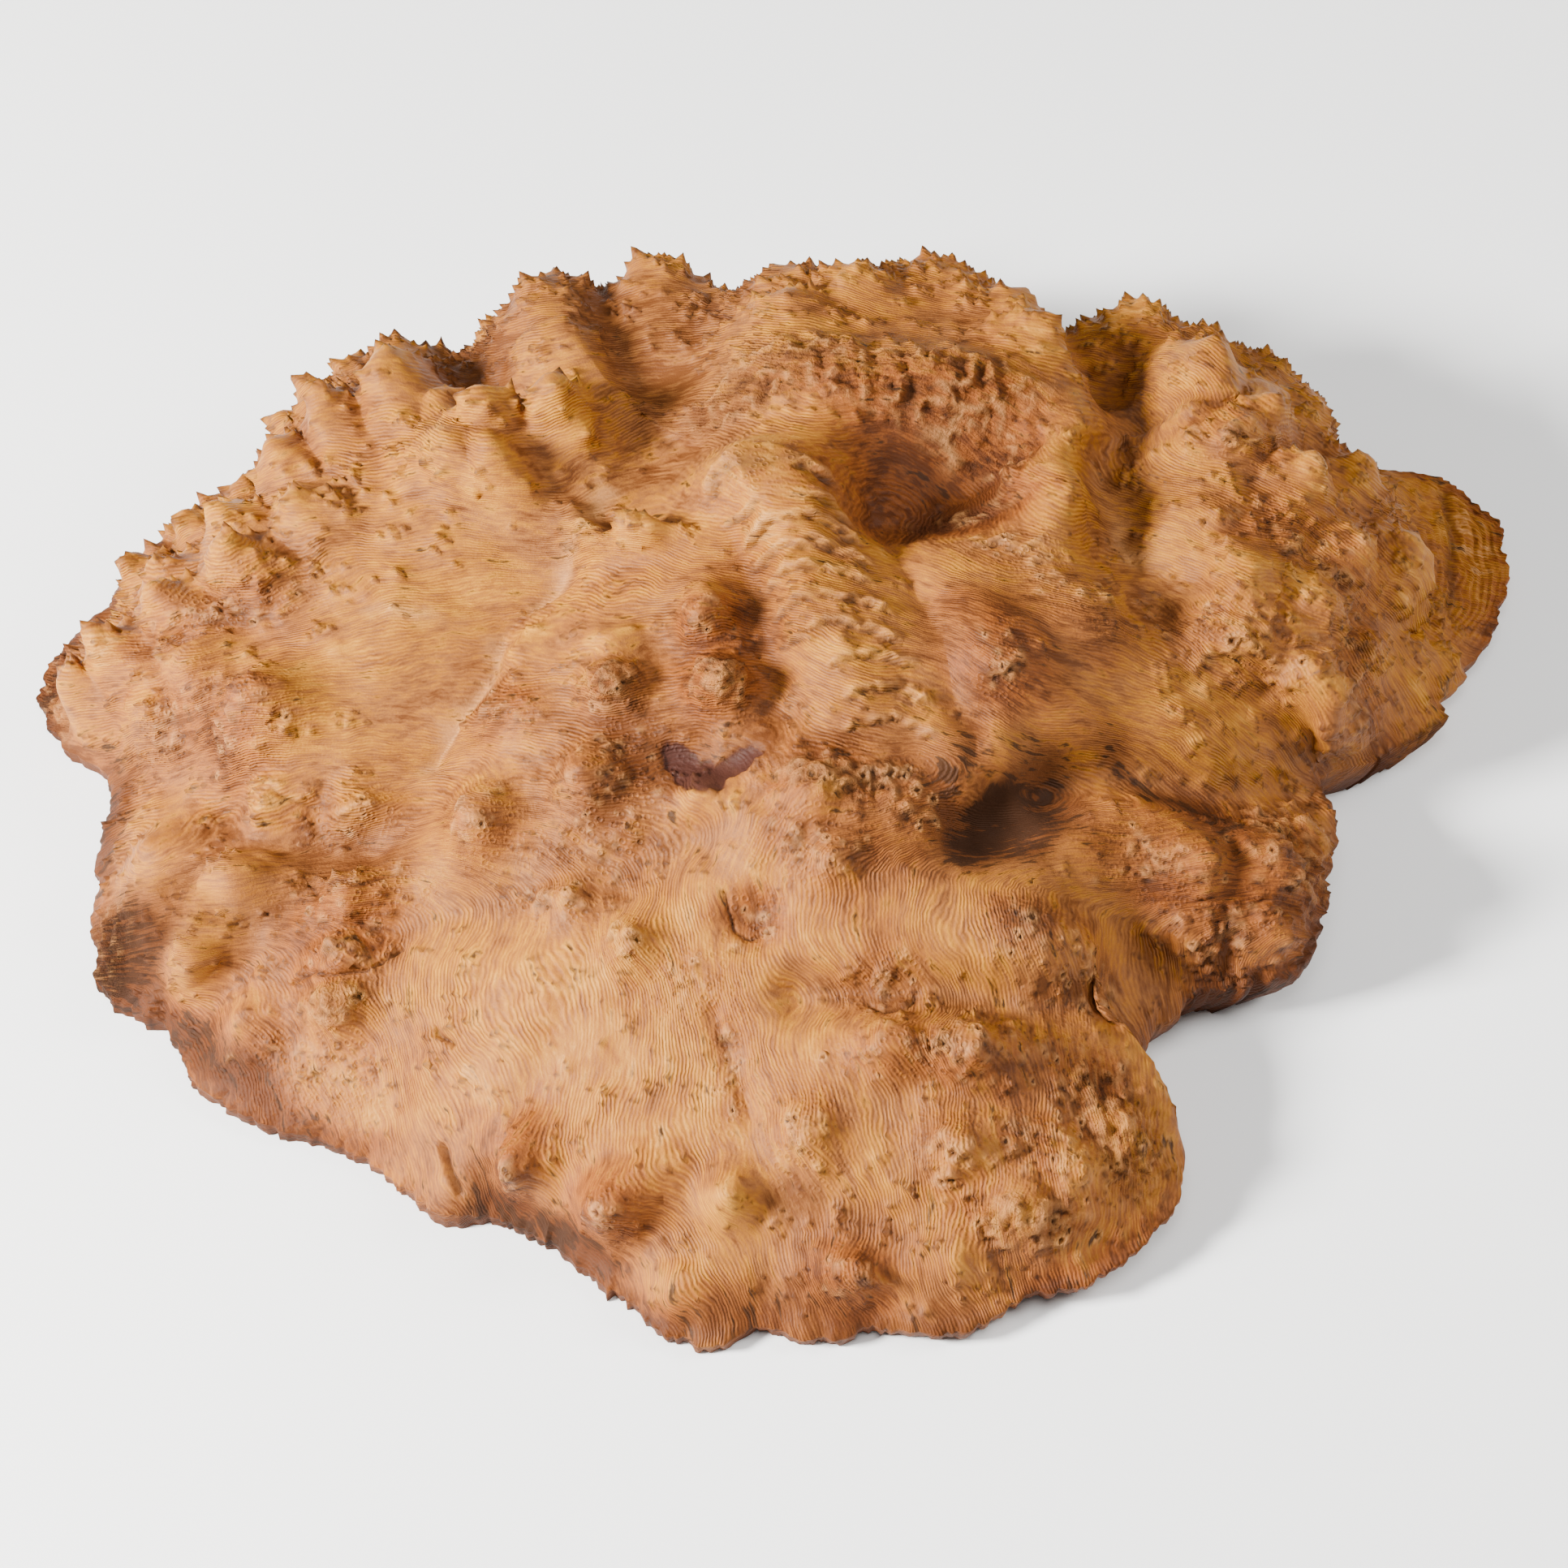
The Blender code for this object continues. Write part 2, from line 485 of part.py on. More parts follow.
def thorns():
    """Lattice cells that bear a thorn, its shift inside the cell and its height."""
    rng = np.random.RandomState(SEED)
    step = 2.0 / CELLS
    taken = np.zeros((CELLS + 1, CELLS + 1), bool)
    rows = []
    cells = [(i, j) for i in range(1, CELLS) for j in range(1, CELLS)]
    for k in rng.permutation(len(cells)):
        i, j = cells[k]
        shift = rng.uniform(-THORN_SHIFT, THORN_SHIFT, 2)
        chance, vary = rng.uniform(0, 1), rng.uniform(*THORN_VARY)
        if taken[i - 1:i + 2, j - 1:j + 2].any():
            continue
        gx, gy = (i + shift[0]) * step - 1, (j + shift[1]) * step - 1
        a, b = place(np.array(gx), np.array(gy))
        share, tall = 0.0, 0.0
        for _, line, width, often, height in BELTS:
            near = np.exp(-((line_distance(a, b, line) / width) ** 2))
            if near * often > share:
                share, tall = near * often, height * (0.5 + 0.5 * near)
        if chance < share:
            taken[i, j] = True
            rows.append((i, j, shift[0], shift[1], tall * vary))
    return rows


def rim_teeth():
    """In and out shift of the ragged rim, one value a tooth."""
    rng = np.random.RandomState(SEED + 1)
    return rng.uniform(-TOOTH, TOOTH, RIM_TEETH)


def lattice_points():
    """Skin points of all lattice corners, thorns standing on their own corners."""
    step = 2.0 / CELLS
    line = np.arange(CELLS + 1) * step - 1
    gx, gy = np.meshgrid(line, line, indexing="ij")
    pull_x, pull_y = np.zeros_like(gx), np.zeros_like(gy)
    tall = np.zeros_like(gx)
    rows = thorns()
    for i, j, sx, sy, height in rows:
        for di in (-1, 0, 1):
            for dj in (-1, 0, 1):
                m, n = i + di, j + dj
                if di == 0 and dj == 0:
                    pull_x[m, n] += sx * step
                    pull_y[m, n] += sy * step
                elif 0 < m < CELLS and 0 < n < CELLS:
                    pull_x[m, n] += BRUSH * (sx / 2 - di) * step
                    pull_y[m, n] += BRUSH * (sy / 2 - dj) * step
        tall[i, j] = height
    a, b = place(gx + pull_x, gy + pull_y)
    points = skin(a, b) + skin_normal(a, b) * tall[..., None]
    out = np.hypot(a - CROWN[0], b - CROWN[1])
    bearing = np.arctan2(b - CROWN[1], a - CROWN[0])
    share = np.clip(out / around(bearing, RIM_REACHES), 0, 1)
    tooth = circle_table(rim_teeth(), bearing) * share**TOOTH_DEPTH
    points[..., 0] += np.cos(bearing) * tooth
    points[..., 1] += np.sin(bearing) * tooth
    points[..., 2] = np.maximum(points[..., 2], LOWEST_SKIN)
    return points


def edge_ring(mesh, ring, drop, tuck):
    """Carries the open edge down and under by shares of the lip height and of the undercut."""
    made = bmesh.ops.extrude_edge_only(mesh, edges=ring)["geom"]
    for vertex in (g for g in made if isinstance(g, bmesh.types.BMVert)):
        dx, dy = vertex.co.x / MM - CROWN[0], vertex.co.y / MM - CROWN[1]
        bearing = np.arctan2(dy, dx)
        lip = around(bearing, RIM_SIZES[:, 0])
        under = LEAST_UNDERCUT + around(bearing, RIM_SIZES[:, 1])
        reach = np.hypot(dx, dy) - tuck * under
        vertex.co.x = (CROWN[0] + reach * np.cos(bearing)) * MM
        vertex.co.y = (CROWN[1] + reach * np.sin(bearing)) * MM
        vertex.co.z = max(0.0, lip * (1 - drop)) * MM
    return [g for g in made if isinstance(g, bmesh.types.BMEdge)]


def burl_solid():
    """The closed solid: thorny skin, tucked edge and flat sawn face."""
    mesh = bmesh.new()
    bmesh.ops.create_grid(mesh, x_segments=CELLS, y_segments=CELLS, size=1.0)
    points = lattice_points()
    for vertex in mesh.verts:
        i = int(round((vertex.co.x + 1) * CELLS / 2))
        j = int(round((vertex.co.y + 1) * CELLS / 2))
        vertex.co = points[i, j] * MM
    ring = [edge for edge in mesh.edges if edge.is_boundary]
    for drop, tuck in EDGE_RINGS:
        ring = edge_ring(mesh, ring, drop, tuck)
    bmesh.ops.edgeloop_fill(mesh, edges=ring)
    bmesh.ops.triangulate(mesh, faces=mesh.faces[:])
    bmesh.ops.recalc_face_normals(mesh, faces=mesh.faces[:])
    return mesh


def wood():
    """Burl wood."""
    material = bpy.data.materials.new("burl_wood")
    material.use_nodes = True
    shader = material.node_tree.nodes["Principled BSDF"]
    shader.inputs["Base Color"].default_value = WOOD_COLOUR
    shader.inputs["Roughness"].default_value = WOOD_ROUGHNESS
    shader.inputs["Metallic"].default_value = 0.0
    return material


def main():
    for old in list(bpy.data.objects):
        bpy.data.objects.remove(old)
    collection = bpy.data.collections.new("mallee_burl_cap")
    bpy.context.scene.collection.children.link(collection)
    data = bpy.data.meshes.new(NODE)
    solid = burl_solid()
    solid.to_mesh(data)
    solid.free()
    for face in data.polygons:
        face.use_smooth = True
    data.materials.append(wood())
    collection.objects.link(bpy.data.objects.new(NODE, data))


main()
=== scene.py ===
"""Looks of the mallee burl cap: thorny skin in fine relief, wood grain, colours and the sawn face.

Form sizes are millimetres and become metres when the mesh is made. A place (a, b) is a place on the outer
skin laid flat around the crown of the cap.
"""
import math

import bmesh
import bpy
import numpy as np
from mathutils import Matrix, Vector
from mathutils.kdtree import KDTree


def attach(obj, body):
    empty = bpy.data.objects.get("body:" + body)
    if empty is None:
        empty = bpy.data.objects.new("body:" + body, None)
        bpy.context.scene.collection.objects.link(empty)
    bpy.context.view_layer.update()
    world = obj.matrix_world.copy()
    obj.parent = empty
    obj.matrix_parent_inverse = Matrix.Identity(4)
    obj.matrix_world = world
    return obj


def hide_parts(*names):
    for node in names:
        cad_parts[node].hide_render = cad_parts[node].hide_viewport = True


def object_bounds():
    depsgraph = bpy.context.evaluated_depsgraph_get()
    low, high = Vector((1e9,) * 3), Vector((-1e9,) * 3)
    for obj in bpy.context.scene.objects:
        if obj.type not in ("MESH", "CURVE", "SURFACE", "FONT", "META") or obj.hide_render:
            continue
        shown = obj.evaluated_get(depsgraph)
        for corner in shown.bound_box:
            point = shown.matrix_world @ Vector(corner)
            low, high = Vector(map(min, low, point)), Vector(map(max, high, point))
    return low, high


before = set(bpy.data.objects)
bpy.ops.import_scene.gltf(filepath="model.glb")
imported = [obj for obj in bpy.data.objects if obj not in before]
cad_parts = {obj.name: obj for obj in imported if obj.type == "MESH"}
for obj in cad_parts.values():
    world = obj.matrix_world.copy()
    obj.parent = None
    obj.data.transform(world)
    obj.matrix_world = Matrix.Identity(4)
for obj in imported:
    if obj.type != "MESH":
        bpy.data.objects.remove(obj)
CAD_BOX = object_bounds()

MM = 0.001
NODE = "burl_cap"
CELLS = 70
SEED = 1907
FINE = 9
TRIANGLES = 176000
NORMAL_STEP = 3
NORMAL_REACH = 1.5

# The crown of the dome and the mean reach of the cap around it
CROWN = (15.0, 50.0)
SUMMIT = 91.0
MEAN_REACH = 185.0
CALMING_DEGREES = 20.0
CALMING_TAIL = 60

# How soon the dome takes the rim's shape, and how much fuller and steeper it falls on the steep sides
ROUND_MIDDLE = 1.15
RIM_PULL = 12
STEEP_POWER = 1.5
STEEP_FULL = 0.42

# The rim, counter-clockwise from the right: x, y, height of the lip, undercut of the edge, steepness above it
OUTLINE = (
    # The flange
    (203, 53, 10, 8, 0.3), (218, 82, 10, 5, 0.4), (221, 102, 9, 4, 0.4), (219, 118, 10, 3, 0.4),
    (208, 129, 12, 3, 0.5), (191, 135, 12, 3, 0.6),
    # The right lobe from behind
    (176, 138, 9, 2, 0.8), (160, 152, 8, 1, 0.9), (136, 166, 8, 1, 1.0), (106, 175, 8, 1, 1.0),
    # The back
    (82, 174, 7, 1, 1.0), (50, 190, 7, 1, 1.0), (15, 188, 7, 1, 1.0), (-18, 180, 7, 1, 1.0),
    (-44, 191, 7, 1, 1.0), (-74, 187, 7, 1, 1.0), (-96, 167, 7, 1, 1.0),
    # The left back
    (-121, 173, 7, 1, 1.0), (-146, 153, 7, 1, 0.9), (-168, 134, 7, 1, 0.8), (-189, 110, 6, 1, 0.6),
    # The left tip
    (-207, 82, 6, 1, 0.4), (-220, 62, 5, 1, 0.3), (-222, 48, 5, 1, 0.2), (-213, 32, 5, 1, 0.1),
    # The left side
    (-199, 20, 5, 0, 0.1), (-197, 4, 5, 0, 0.1), (-198, -10, 6, 0, 0.1), (-198, -38, 6, 0, 0.1),
    (-190, -60, 6, 0, 0.1),
    # The front left with its curl
    (-172, -71, 5, 0, 0.0), (-160, -92, 5, 0, 0.0), (-136, -105, 5, 0, 0.0), (-109, -118, 5, 0, 0.0),
    (-99, -128, 6, 0, 0.0), (-90, -135, 7, 0, 0.0), (-80, -133, 5, 0, 0.0),
    # The front
    (-62, -143, 5, 0, 0.0), (-42, -159, 5, 0, 0.0), (-28, -172, 5, 1, 0.0), (-16, -174, 5, 1, 0.0),
    (-6, -169, 5, 1, 0.0), (8, -173, 5, 1, 0.0), (24, -169, 6, 2, 0.0),
    # The front right lobe
    (42, -171, 7, 3, 0.0), (56, -169, 8, 4, 0.0), (63, -163, 9, 5, 0.0), (81, -158, 10, 7, 0.0),
    (100, -144, 12, 9, 0.0), (111, -126, 14, 9, 0.0), (109, -108, 15, 9, 0.0),
    # The notch and the low right lobe
    (102, -94, 15, 8, 0.0), (103, -82, 16, 7, 0.0), (112, -72, 17, 8, 0.0), (128, -66, 20, 12, 0.0),
    (144, -63, 20, 14, 0.0), (152, -47, 20, 14, 0.0), (158, -24, 20, 14, 0.1), (160, -4, 20, 14, 0.1),
    # The front of the right lobe
    (156, 9, 18, 10, 0.1), (171, 17, 16, 10, 0.1), (184, 28, 14, 9, 0.2),
)

# Mounds and hollows: place (a, b), half-lengths along and across, turn in degrees, height
MOUNDS = (
    # The left side
    (-158, 48, 62, 34, 12, 9), (-143, 10, 24, 20, 0, 7), (-160, 105, 62, 32, 26, -11),
    (-168, -38, 30, 24, -20, 5), (-121, -52, 26, 20, 0, 4), (-122, -76, 16, 10, 0, 3.5),
    # The crusts, the bowl, the rib's head and the slope behind
    (2, 91, 22, 16, 0, 8), (37, 85, 24, 13, 0, 8), (38, 62, 24, 20, 20, -17), (68, 62, 10, 22, 10, 7),
    (14, 66, 9, 14, 0, 3), (2, 54, 20, 16, 0, 6), (-20, 84, 22, 26, 30, -7),
    # Knobs in the left valley
    (-48, 47, 12, 10, 0, 9), (-33, 47, 8, 7, 0, 5), (-59, 86, 14, 11, 0, 8), (-40, 83, 10, 9, 0, 7),
    (-62, 71, 14, 10, 0, 7), (-76, 78, 11, 9, 0, 5),
    # Knobs of the middle and the ringed mound
    (-78, -3, 15, 14, 0, 4.5), (-47, -2, 11, 10, 0, 5), (-17, -6, 12, 11, 0, 6), (-20, 17, 10, 12, 0, 6),
    (59, 4, 25, 22, 0, 10), (82, 22, 16, 14, 0, 5),
    # The right lobe
    (122, 78, 52, 30, -20, 8), (130, 38, 40, 22, -15, 8), (150, 22, 26, 14, -20, 5),
    # The dark hollow, the shelf and the low right lobe
    (62, -43, 22, 15, 25, -11), (10, -42, 40, 26, 0, 5), (-22, -30, 16, 10, -10, -4),
    (132, -42, 32, 24, 0, 10), (74, -74, 20, 15, 0, 6), (98, -66, 24, 26, 30, -8), (-7, -72, 10, 9, 0, -4),
    # The plain and the front
    (42, -103, 30, 10, 0, 6), (58, -132, 50, 30, -10, 9), (-46, -128, 44, 22, -18, 6),
    (8, -122, 22, 20, 0, 5), (-62, -88, 38, 24, 0, 3), (-22, -158, 22, 10, 0, 4), (22, -158, 18, 9, 0, 4),
    (-72, -122, 11, 9, 0, 4), (-45, -137, 10, 9, 0, 4), (-33, -133, 8, 8, 0, 3), (-12, -139, 9, 8, 0, 3.5),
    # Smaller knobs
    (-84, -34, 12, 14, 0, 4), (-52, -30, 12, 14, 0, 4), (-150, -40, 12, 10, 0, 4), (-162, -56, 12, 9, 0, 4),
    (-116, -25, 12, 10, 0, 4), (-92, -128, 10, 7, -30, 3),
)

# Tents: steep knuckles with hollow flanks and a blunt top: place (a, b), reach, height
TENTS = (
    # The knuckles and the mounds behind the bowl
    (-52, 134, 38, 9.5), (-46, 108, 22, 6), (-26, 142, 28, 11), (-68, 100, 16, 7), (4, 134, 22, 5.5),
    (20, 124, 17, 8), (40, 138, 26, 8), (58, 124, 20, 7), (6, 112, 15, 6.5), (58, 106, 15, 8),
    # The left ridge, outer and inner
    (-89, 138, 24, 11), (-106, 136, 20, 10), (-121, 130, 19, 10), (-134, 126, 17, 11), (-152, 112, 17, 7.5),
    (-171, 104, 17, 10), (-188, 90, 17, 11), (-84, 106, 20, 12), (-104, 102, 20, 12), (-122, 94, 19, 12),
    (-143, 78, 18, 10.5), (-168, 71, 17, 9),
    # The right crest
    (88, 138, 24, 8), (106, 128, 20, 5), (124, 128, 22, 6), (136, 110, 20, 5), (151, 92, 18, 11),
    (166, 70, 17, 10), (98, 104, 20, 9), (118, 96, 20, 9),
    # The back wall
    (-84, 160, 24, 7), (-38, 168, 26, 7), (22, 166, 26, 7), (66, 160, 24, 7), (112, 152, 24, 7),
    (152, 124, 20, 5),
    # Spiked knobs of the left valley
    (-57, 86, 11, 9), (-40, 86, 10, 9), (-59, 73, 11, 6.5), (-70, 77, 11, 5.5), (-47, 57, 10, 6.5),
    (-37, 47, 10, 5.5),
    # The left lobe and below it
    (-199, 40, 15, 7), (-183, 46, 17, 10), (-162, 52, 19, 11.5), (-139, 58, 19, 11.5), (-118, 72, 17, 8.5),
    (-159, 24, 18, 8.5), (-139, 8, 20, 10), (-176, 20, 16, 7), (-141, -18, 16, 7), (-118, -23, 14, 5.5),
    (-172, -24, 16, 7), (-146, -39, 15, 7), (-118, -51, 14, 5.5), (-160, -57, 15, 7), (-120, -66, 13, 5.5),
    (-121, -80, 13, 5.5), (-148, -76, 14, 5.5),
    # The right lobe
    (112, 86, 17, 8.5), (131, 78, 17, 8.5), (150, 62, 16, 7), (119, 42, 16, 7), (141, 41, 16, 8.5),
    (121, 22, 15, 6), (146, 20, 15, 6), (160, 38, 15, 6),
    # The low right lobe
    (112, -43, 14, 7), (131, -38, 15, 7), (146, -24, 14, 5.5), (112, -60, 13, 5.5), (134, -57, 13, 5.5),
    # The front right
    (51, -105, 13, 5), (28, -106, 12, 5), (77, -130, 14, 5), (46, -128, 13, 5), (63, -143, 14, 5),
    (92, -119, 14, 5), (46, -154, 13, 5),
    # The front
    (-69, -124, 13, 6.5), (-43, -139, 12, 6.5), (-14, -140, 11, 5), (18, -157, 12, 5), (-28, -163, 11, 5),
    (8, -127, 11, 4),
    # The middle
    (10, -41, 13, 5.5), (14, -58, 12, 4), (-22, -38, 12, 5.5), (-40, -76, 12, 5.5), (-83, -38, 13, 5.5),
    (-59, -61, 12, 5.5), (-53, -31, 13, 5.5), (-46, -6, 12, 5.5), (-16, -10, 12, 5.5), (-21, 11, 11, 5.5),
    (-46, 10, 11, 4), (-72, 16, 12, 4),
)

# Ribs: places along the line, half-width, height
RIBS = (
    ("centre_rib", ((-2, 56), (4, 34), (10, 12), (18, -8)), 17, 6),
    ("left_front_rib", ((-196, 40), (-176, 34), (-158, 30)), 12, 4),
    ("right_lobe_edge", ((100, 44), (122, 30), (150, 14), (168, 20)), 9, 4),
    ("hollow_rim", ((46, -22), (52, -34), (60, -26)), 9, 4),
)

# Grooves: places along the line, half-width, depth, sharpness from round to a fine crease
GROOVES = (
    ("left_valley", ((-14, 84), (-31, 68), (-52, 52), (-79, 33), (-88, 12), (-98, -9), (-112, -24)),
     22, 11, 0.0),
    ("left_crease", ((-48, 56), (-66, 42), (-79, 31), (-82, 16), (-90, 3), (-98, -9)), 7, 3.5, 1.0),
    ("right_valley", ((74, 112), (78, 92), (85, 70), (88, 52), (104, 38)), 14, 11, 0.0),
    ("right_band", ((90, 56), (97, 46), (112, 40)), 6, 3, 1.0),
    ("rib_right", ((22, 58), (31, 43), (38, 23), (45, 4), (49, -17)), 9, 4, 0.6),
    ("rib_left", ((-10, 46), (-8, 26), (-4, 4), (0, -14)), 9, 3.5, 0.0),
    ("right_groove", ((162, 4), (144, -8), (124, -19), (100, -20), (80, -28)), 11, 9, 0.0),
    ("low_groove", ((90, -84), (66, -90), (31, -93), (6, -92)), 9, 5, 0.0),
    ("front_groove", ((-110, -60), (-80, -62), (-50, -58), (-24, -50)), 13, 4, 0.0),
    ("left_gully", ((-200, 14), (-180, 8), (-165, -4), (-140, -22), (-122, -34)), 13, 5, 0.0),
    ("knuckle_gap", ((-38, 160), (-36, 140), (-32, 118), (-27, 104)), 9, 6, 0.0),
    ("left_gap", ((-106, 158), (-86, 150), (-72, 132), (-64, 112), (-58, 98)), 13, 13, 0.0),
    ("back_gap", ((-8, 176), (-10, 156), (-13, 130), (-16, 104)), 14, 7, 0.0),
    ("right_gap", ((80, 168), (74, 148), (70, 126), (74, 108)), 12, 11, 0.0),
    ("right_shoulder_gap", ((168, 134), (154, 120), (158, 104)), 11, 9, 0.0),
    ("left_shoulder_gap", ((-164, 134), (-148, 124), (-138, 112)), 13, 8, 0.0),
    ("pit_string", ((-18, -96), (-14, -106), (-10, -116), (-8, -122)), 4, 2, 1.0),
)

# Thorny belts: places along the belt, half-width, share of places with a thorn, thorn height
BELTS = (
    ("left_back_ridge", ((-206, 62), (-188, 86), (-160, 98), (-130, 112), (-104, 122), (-84, 126)),
     30, 0.95, 5.8),
    ("left_back_wall", ((-196, 96), (-168, 122), (-130, 144), (-96, 154)), 22, 0.85, 5.5),
    ("knuckles", ((-60, 134), (-44, 136), (-24, 144)), 20, 0.95, 5.5),
    ("back_wall", ((-80, 168), (-44, 172), (0, 170), (50, 170), (100, 156), (150, 132)), 30, 0.85, 5.5),
    ("back_crest", ((-2, 124), (24, 132), (46, 128), (64, 114)), 22, 0.9, 4.8),
    ("right_crest", ((86, 132), (108, 126), (132, 116), (152, 94), (168, 70), (178, 48)), 24, 0.95, 5.2),
    ("left_lobe", ((-190, 48), (-160, 52), (-130, 60), (-104, 76)), 28, 0.85, 5.5),
    ("left_spikes", ((-78, 78), (-60, 84), (-42, 84)), 14, 1.0, 6.0),
    ("lone_knob", ((-52, 48), (-34, 48)), 8, 1.0, 5.0),
    ("crusted_mounds", ((-6, 92), (14, 84), (36, 86), (54, 74)), 12, 0.95, 4.5),
    ("right_lobe", ((110, 84), (130, 62), (150, 40), (132, 34)), 30, 0.9, 5.0),
    ("lower_right_edge", ((160, -6), (154, -30), (150, -48), (136, -60), (120, -58)), 12, 0.95, 4.5),
    ("lower_right", ((110, -42), (140, -30)), 20, 0.5, 2.5),
    ("bottom_right", ((20, -150), (60, -150), (92, -134), (100, -112), (76, -104), (40, -104)),
     22, 0.75, 3.0),
    ("left_edge", ((-196, 16), (-192, -10), (-190, -36), (-172, -58)), 18, 0.7, 3.5),
    ("left_middle", ((-150, 10), (-140, -22), (-160, -44), (-124, -58)), 22, 0.7, 3.5),
    ("centre", ((-60, 10), (-20, 0), (8, 30), (14, -30), (-50, -34)), 26, 0.5, 2.5),
    ("front", ((-150, -60), (-110, -84), (-70, -110), (-30, -140), (10, -150)), 26, 0.35, 2.0),
)

# Falls of mounds, creases and tents from their middle, and the blunt top of a tent
MOUND_FALL = 1.4
CREASE_FALL = 1.6
TENT_TOP = 1.12
TENT_HOLLOW = 1.7
TENT_BLUNT = 2.0

# Height given to the flange that stands out beyond the right lobe, and where the lobe falls to it
LEDGE_RISE = 13.0
LEDGE_EDGE = 184.0
LEDGE_FALL = 9.0
LEDGE_BOW = 0.006
LEDGE_SLOPE = 0.14
LEDGE_Y = (50.0, 92.0, 150.0)
LEDGE_SIDES = (14.0, 16.0)

# Rim teeth: how far they stand in or out, and how far round the rim one reaches
TOOTH = 1.7
RIM_TEETH = 4 * CELLS
TOOTH_DEPTH = 40
LIP_WIDTH = 0.07

# Thorns: shift inside their cell and spread of heights
THORN_SHIFT = 0.42
THORN_VARY = (0.65, 1.25)

# The lattice follows the rim's bays only near it
RIM_FOLLOW = 5

# Lowest the skin comes, and the least undercut of the edge below the rim
LOWEST_SKIN = 3.6
LEAST_UNDERCUT = 0.8


def rim_numbers():
    """Bearing, reach and edge sizes of every rim place."""
    places = np.array([row[:2] for row in OUTLINE], float) - np.array(CROWN)
    bearings = np.unwrap(np.arctan2(places[:, 1], places[:, 0]))
    return bearings, np.hypot(places[:, 0], places[:, 1]), np.array([row[2:] for row in OUTLINE], float)


RIM_BEARINGS, RIM_REACHES, RIM_SIZES = rim_numbers()


def around(bearing, values):
    """Values given at the rim places, carried smoothly round the rim."""
    turn = 2 * np.pi
    knots = np.concatenate([RIM_BEARINGS[-3:] - turn, RIM_BEARINGS, RIM_BEARINGS[:3] + turn])
    v = np.concatenate([values[-3:], values, values[:3]])
    t = np.mod(bearing - RIM_BEARINGS[0], turn) + RIM_BEARINGS[0]
    i = np.clip(np.searchsorted(knots, t, side="right") - 1, 1, len(knots) - 3)
    width = knots[i + 1] - knots[i]
    slope_in = (v[i + 1] - v[i - 1]) / (knots[i + 1] - knots[i - 1])
    slope_out = (v[i + 2] - v[i]) / (knots[i + 2] - knots[i])
    u = (t - knots[i]) / width
    start = (2 * u**3 - 3 * u**2 + 1) * v[i] + (u**3 - 2 * u**2 + u) * width * slope_in
    end = (3 * u**2 - 2 * u**3) * v[i + 1] + (u**3 - u**2) * width * slope_out
    return start + end


def circle_table(table, bearing):
    """A round table of evenly spaced values, read at any bearing."""
    t = np.mod(bearing, 2 * np.pi) * len(table) / (2 * np.pi)
    i = np.floor(t).astype(int)
    u = t - i
    return table[i % len(table)] * (1 - u) + table[(i + 1) % len(table)] * u


def calm_reaches():
    """The rim with its bays and noses evened out, one value a degree."""
    reach = around(np.arange(360) * np.pi / 180, RIM_REACHES)
    steps = np.arange(-CALMING_TAIL, CALMING_TAIL + 1)
    weights = np.exp(-((steps / CALMING_DEGREES) ** 2))
    weights = weights / weights.sum()
    return sum(w * np.roll(reach, k) for k, w in zip(steps, weights))


CALM = calm_reaches()


def smooth(x):
    """An even step from 0 to 1."""
    x = np.clip(x, 0, 1)
    return x * x * (3 - 2 * x)


def line_distance(a, b, line):
    """Distance of places to a line through the given places."""
    best = np.full(np.shape(a), 1e9)
    for (x0, y0), (x1, y1) in zip(line[:-1], line[1:]):
        dx, dy = x1 - x0, y1 - y0
        t = np.clip(((a - x0) * dx + (b - y0) * dy) / (dx * dx + dy * dy), 0, 1)
        best = np.minimum(best, np.hypot(a - x0 - t * dx, b - y0 - t * dy))
    return best


def bell(d, width=1.0):
    """A soft hill over distance, 1 in its middle."""
    return np.exp(-((d / width) ** 2))


def turned(a, b, x, y, along, across, turn):
    """Places seen from a spot along and across its turned axes, in its half-lengths."""
    c, s = math.cos(math.radians(turn)), math.sin(math.radians(turn))
    return ((a - x) * c + (b - y) * s) / along, ((b - y) * c - (a - x) * s) / across


def dome(a, b):
    """Points of the smooth dome under places on the skin, and their share of the way out to the rim."""
    dx, dy = a - CROWN[0], b - CROWN[1]
    bearing = np.arctan2(dy, dx)
    reach = around(bearing, RIM_REACHES)
    share = np.clip(np.hypot(dx, dy) / reach, 0, 1)
    lip = around(bearing, RIM_SIZES[:, 0])
    steep = np.clip(around(bearing, RIM_SIZES[:, 2]), 0, 1)
    r = reach * (share + steep * (np.sin(np.pi / 2 * share) - share))
    calm = circle_table(CALM, bearing)
    middle = smooth(share * ROUND_MIDDLE)
    t = r / (MEAN_REACH + (calm - MEAN_REACH) * middle + (reach - calm) * share**RIM_PULL)
    steep = steep * middle
    fall = np.clip(1 - t ** (2.0 + STEEP_POWER * steep), 0, 1) ** (1.0 - STEEP_FULL * steep)
    x = CROWN[0] + r * np.cos(bearing)
    y = CROWN[1] + r * np.sin(bearing)
    z = lip + (SUMMIT - lip) * fall
    sector = smooth((y - LEDGE_Y[0]) / LEDGE_SIDES[0]) * smooth((LEDGE_Y[2] - y) / LEDGE_SIDES[1])
    beyond = smooth((x - LEDGE_EDGE + LEDGE_BOW * (y - LEDGE_Y[1]) ** 2) / LEDGE_FALL) * sector
    ledge = lip + LEDGE_RISE * (1 - t) / LEDGE_SLOPE
    z = z + beyond * (np.minimum(z, ledge) - z)
    return np.stack([x, y, z], -1), share


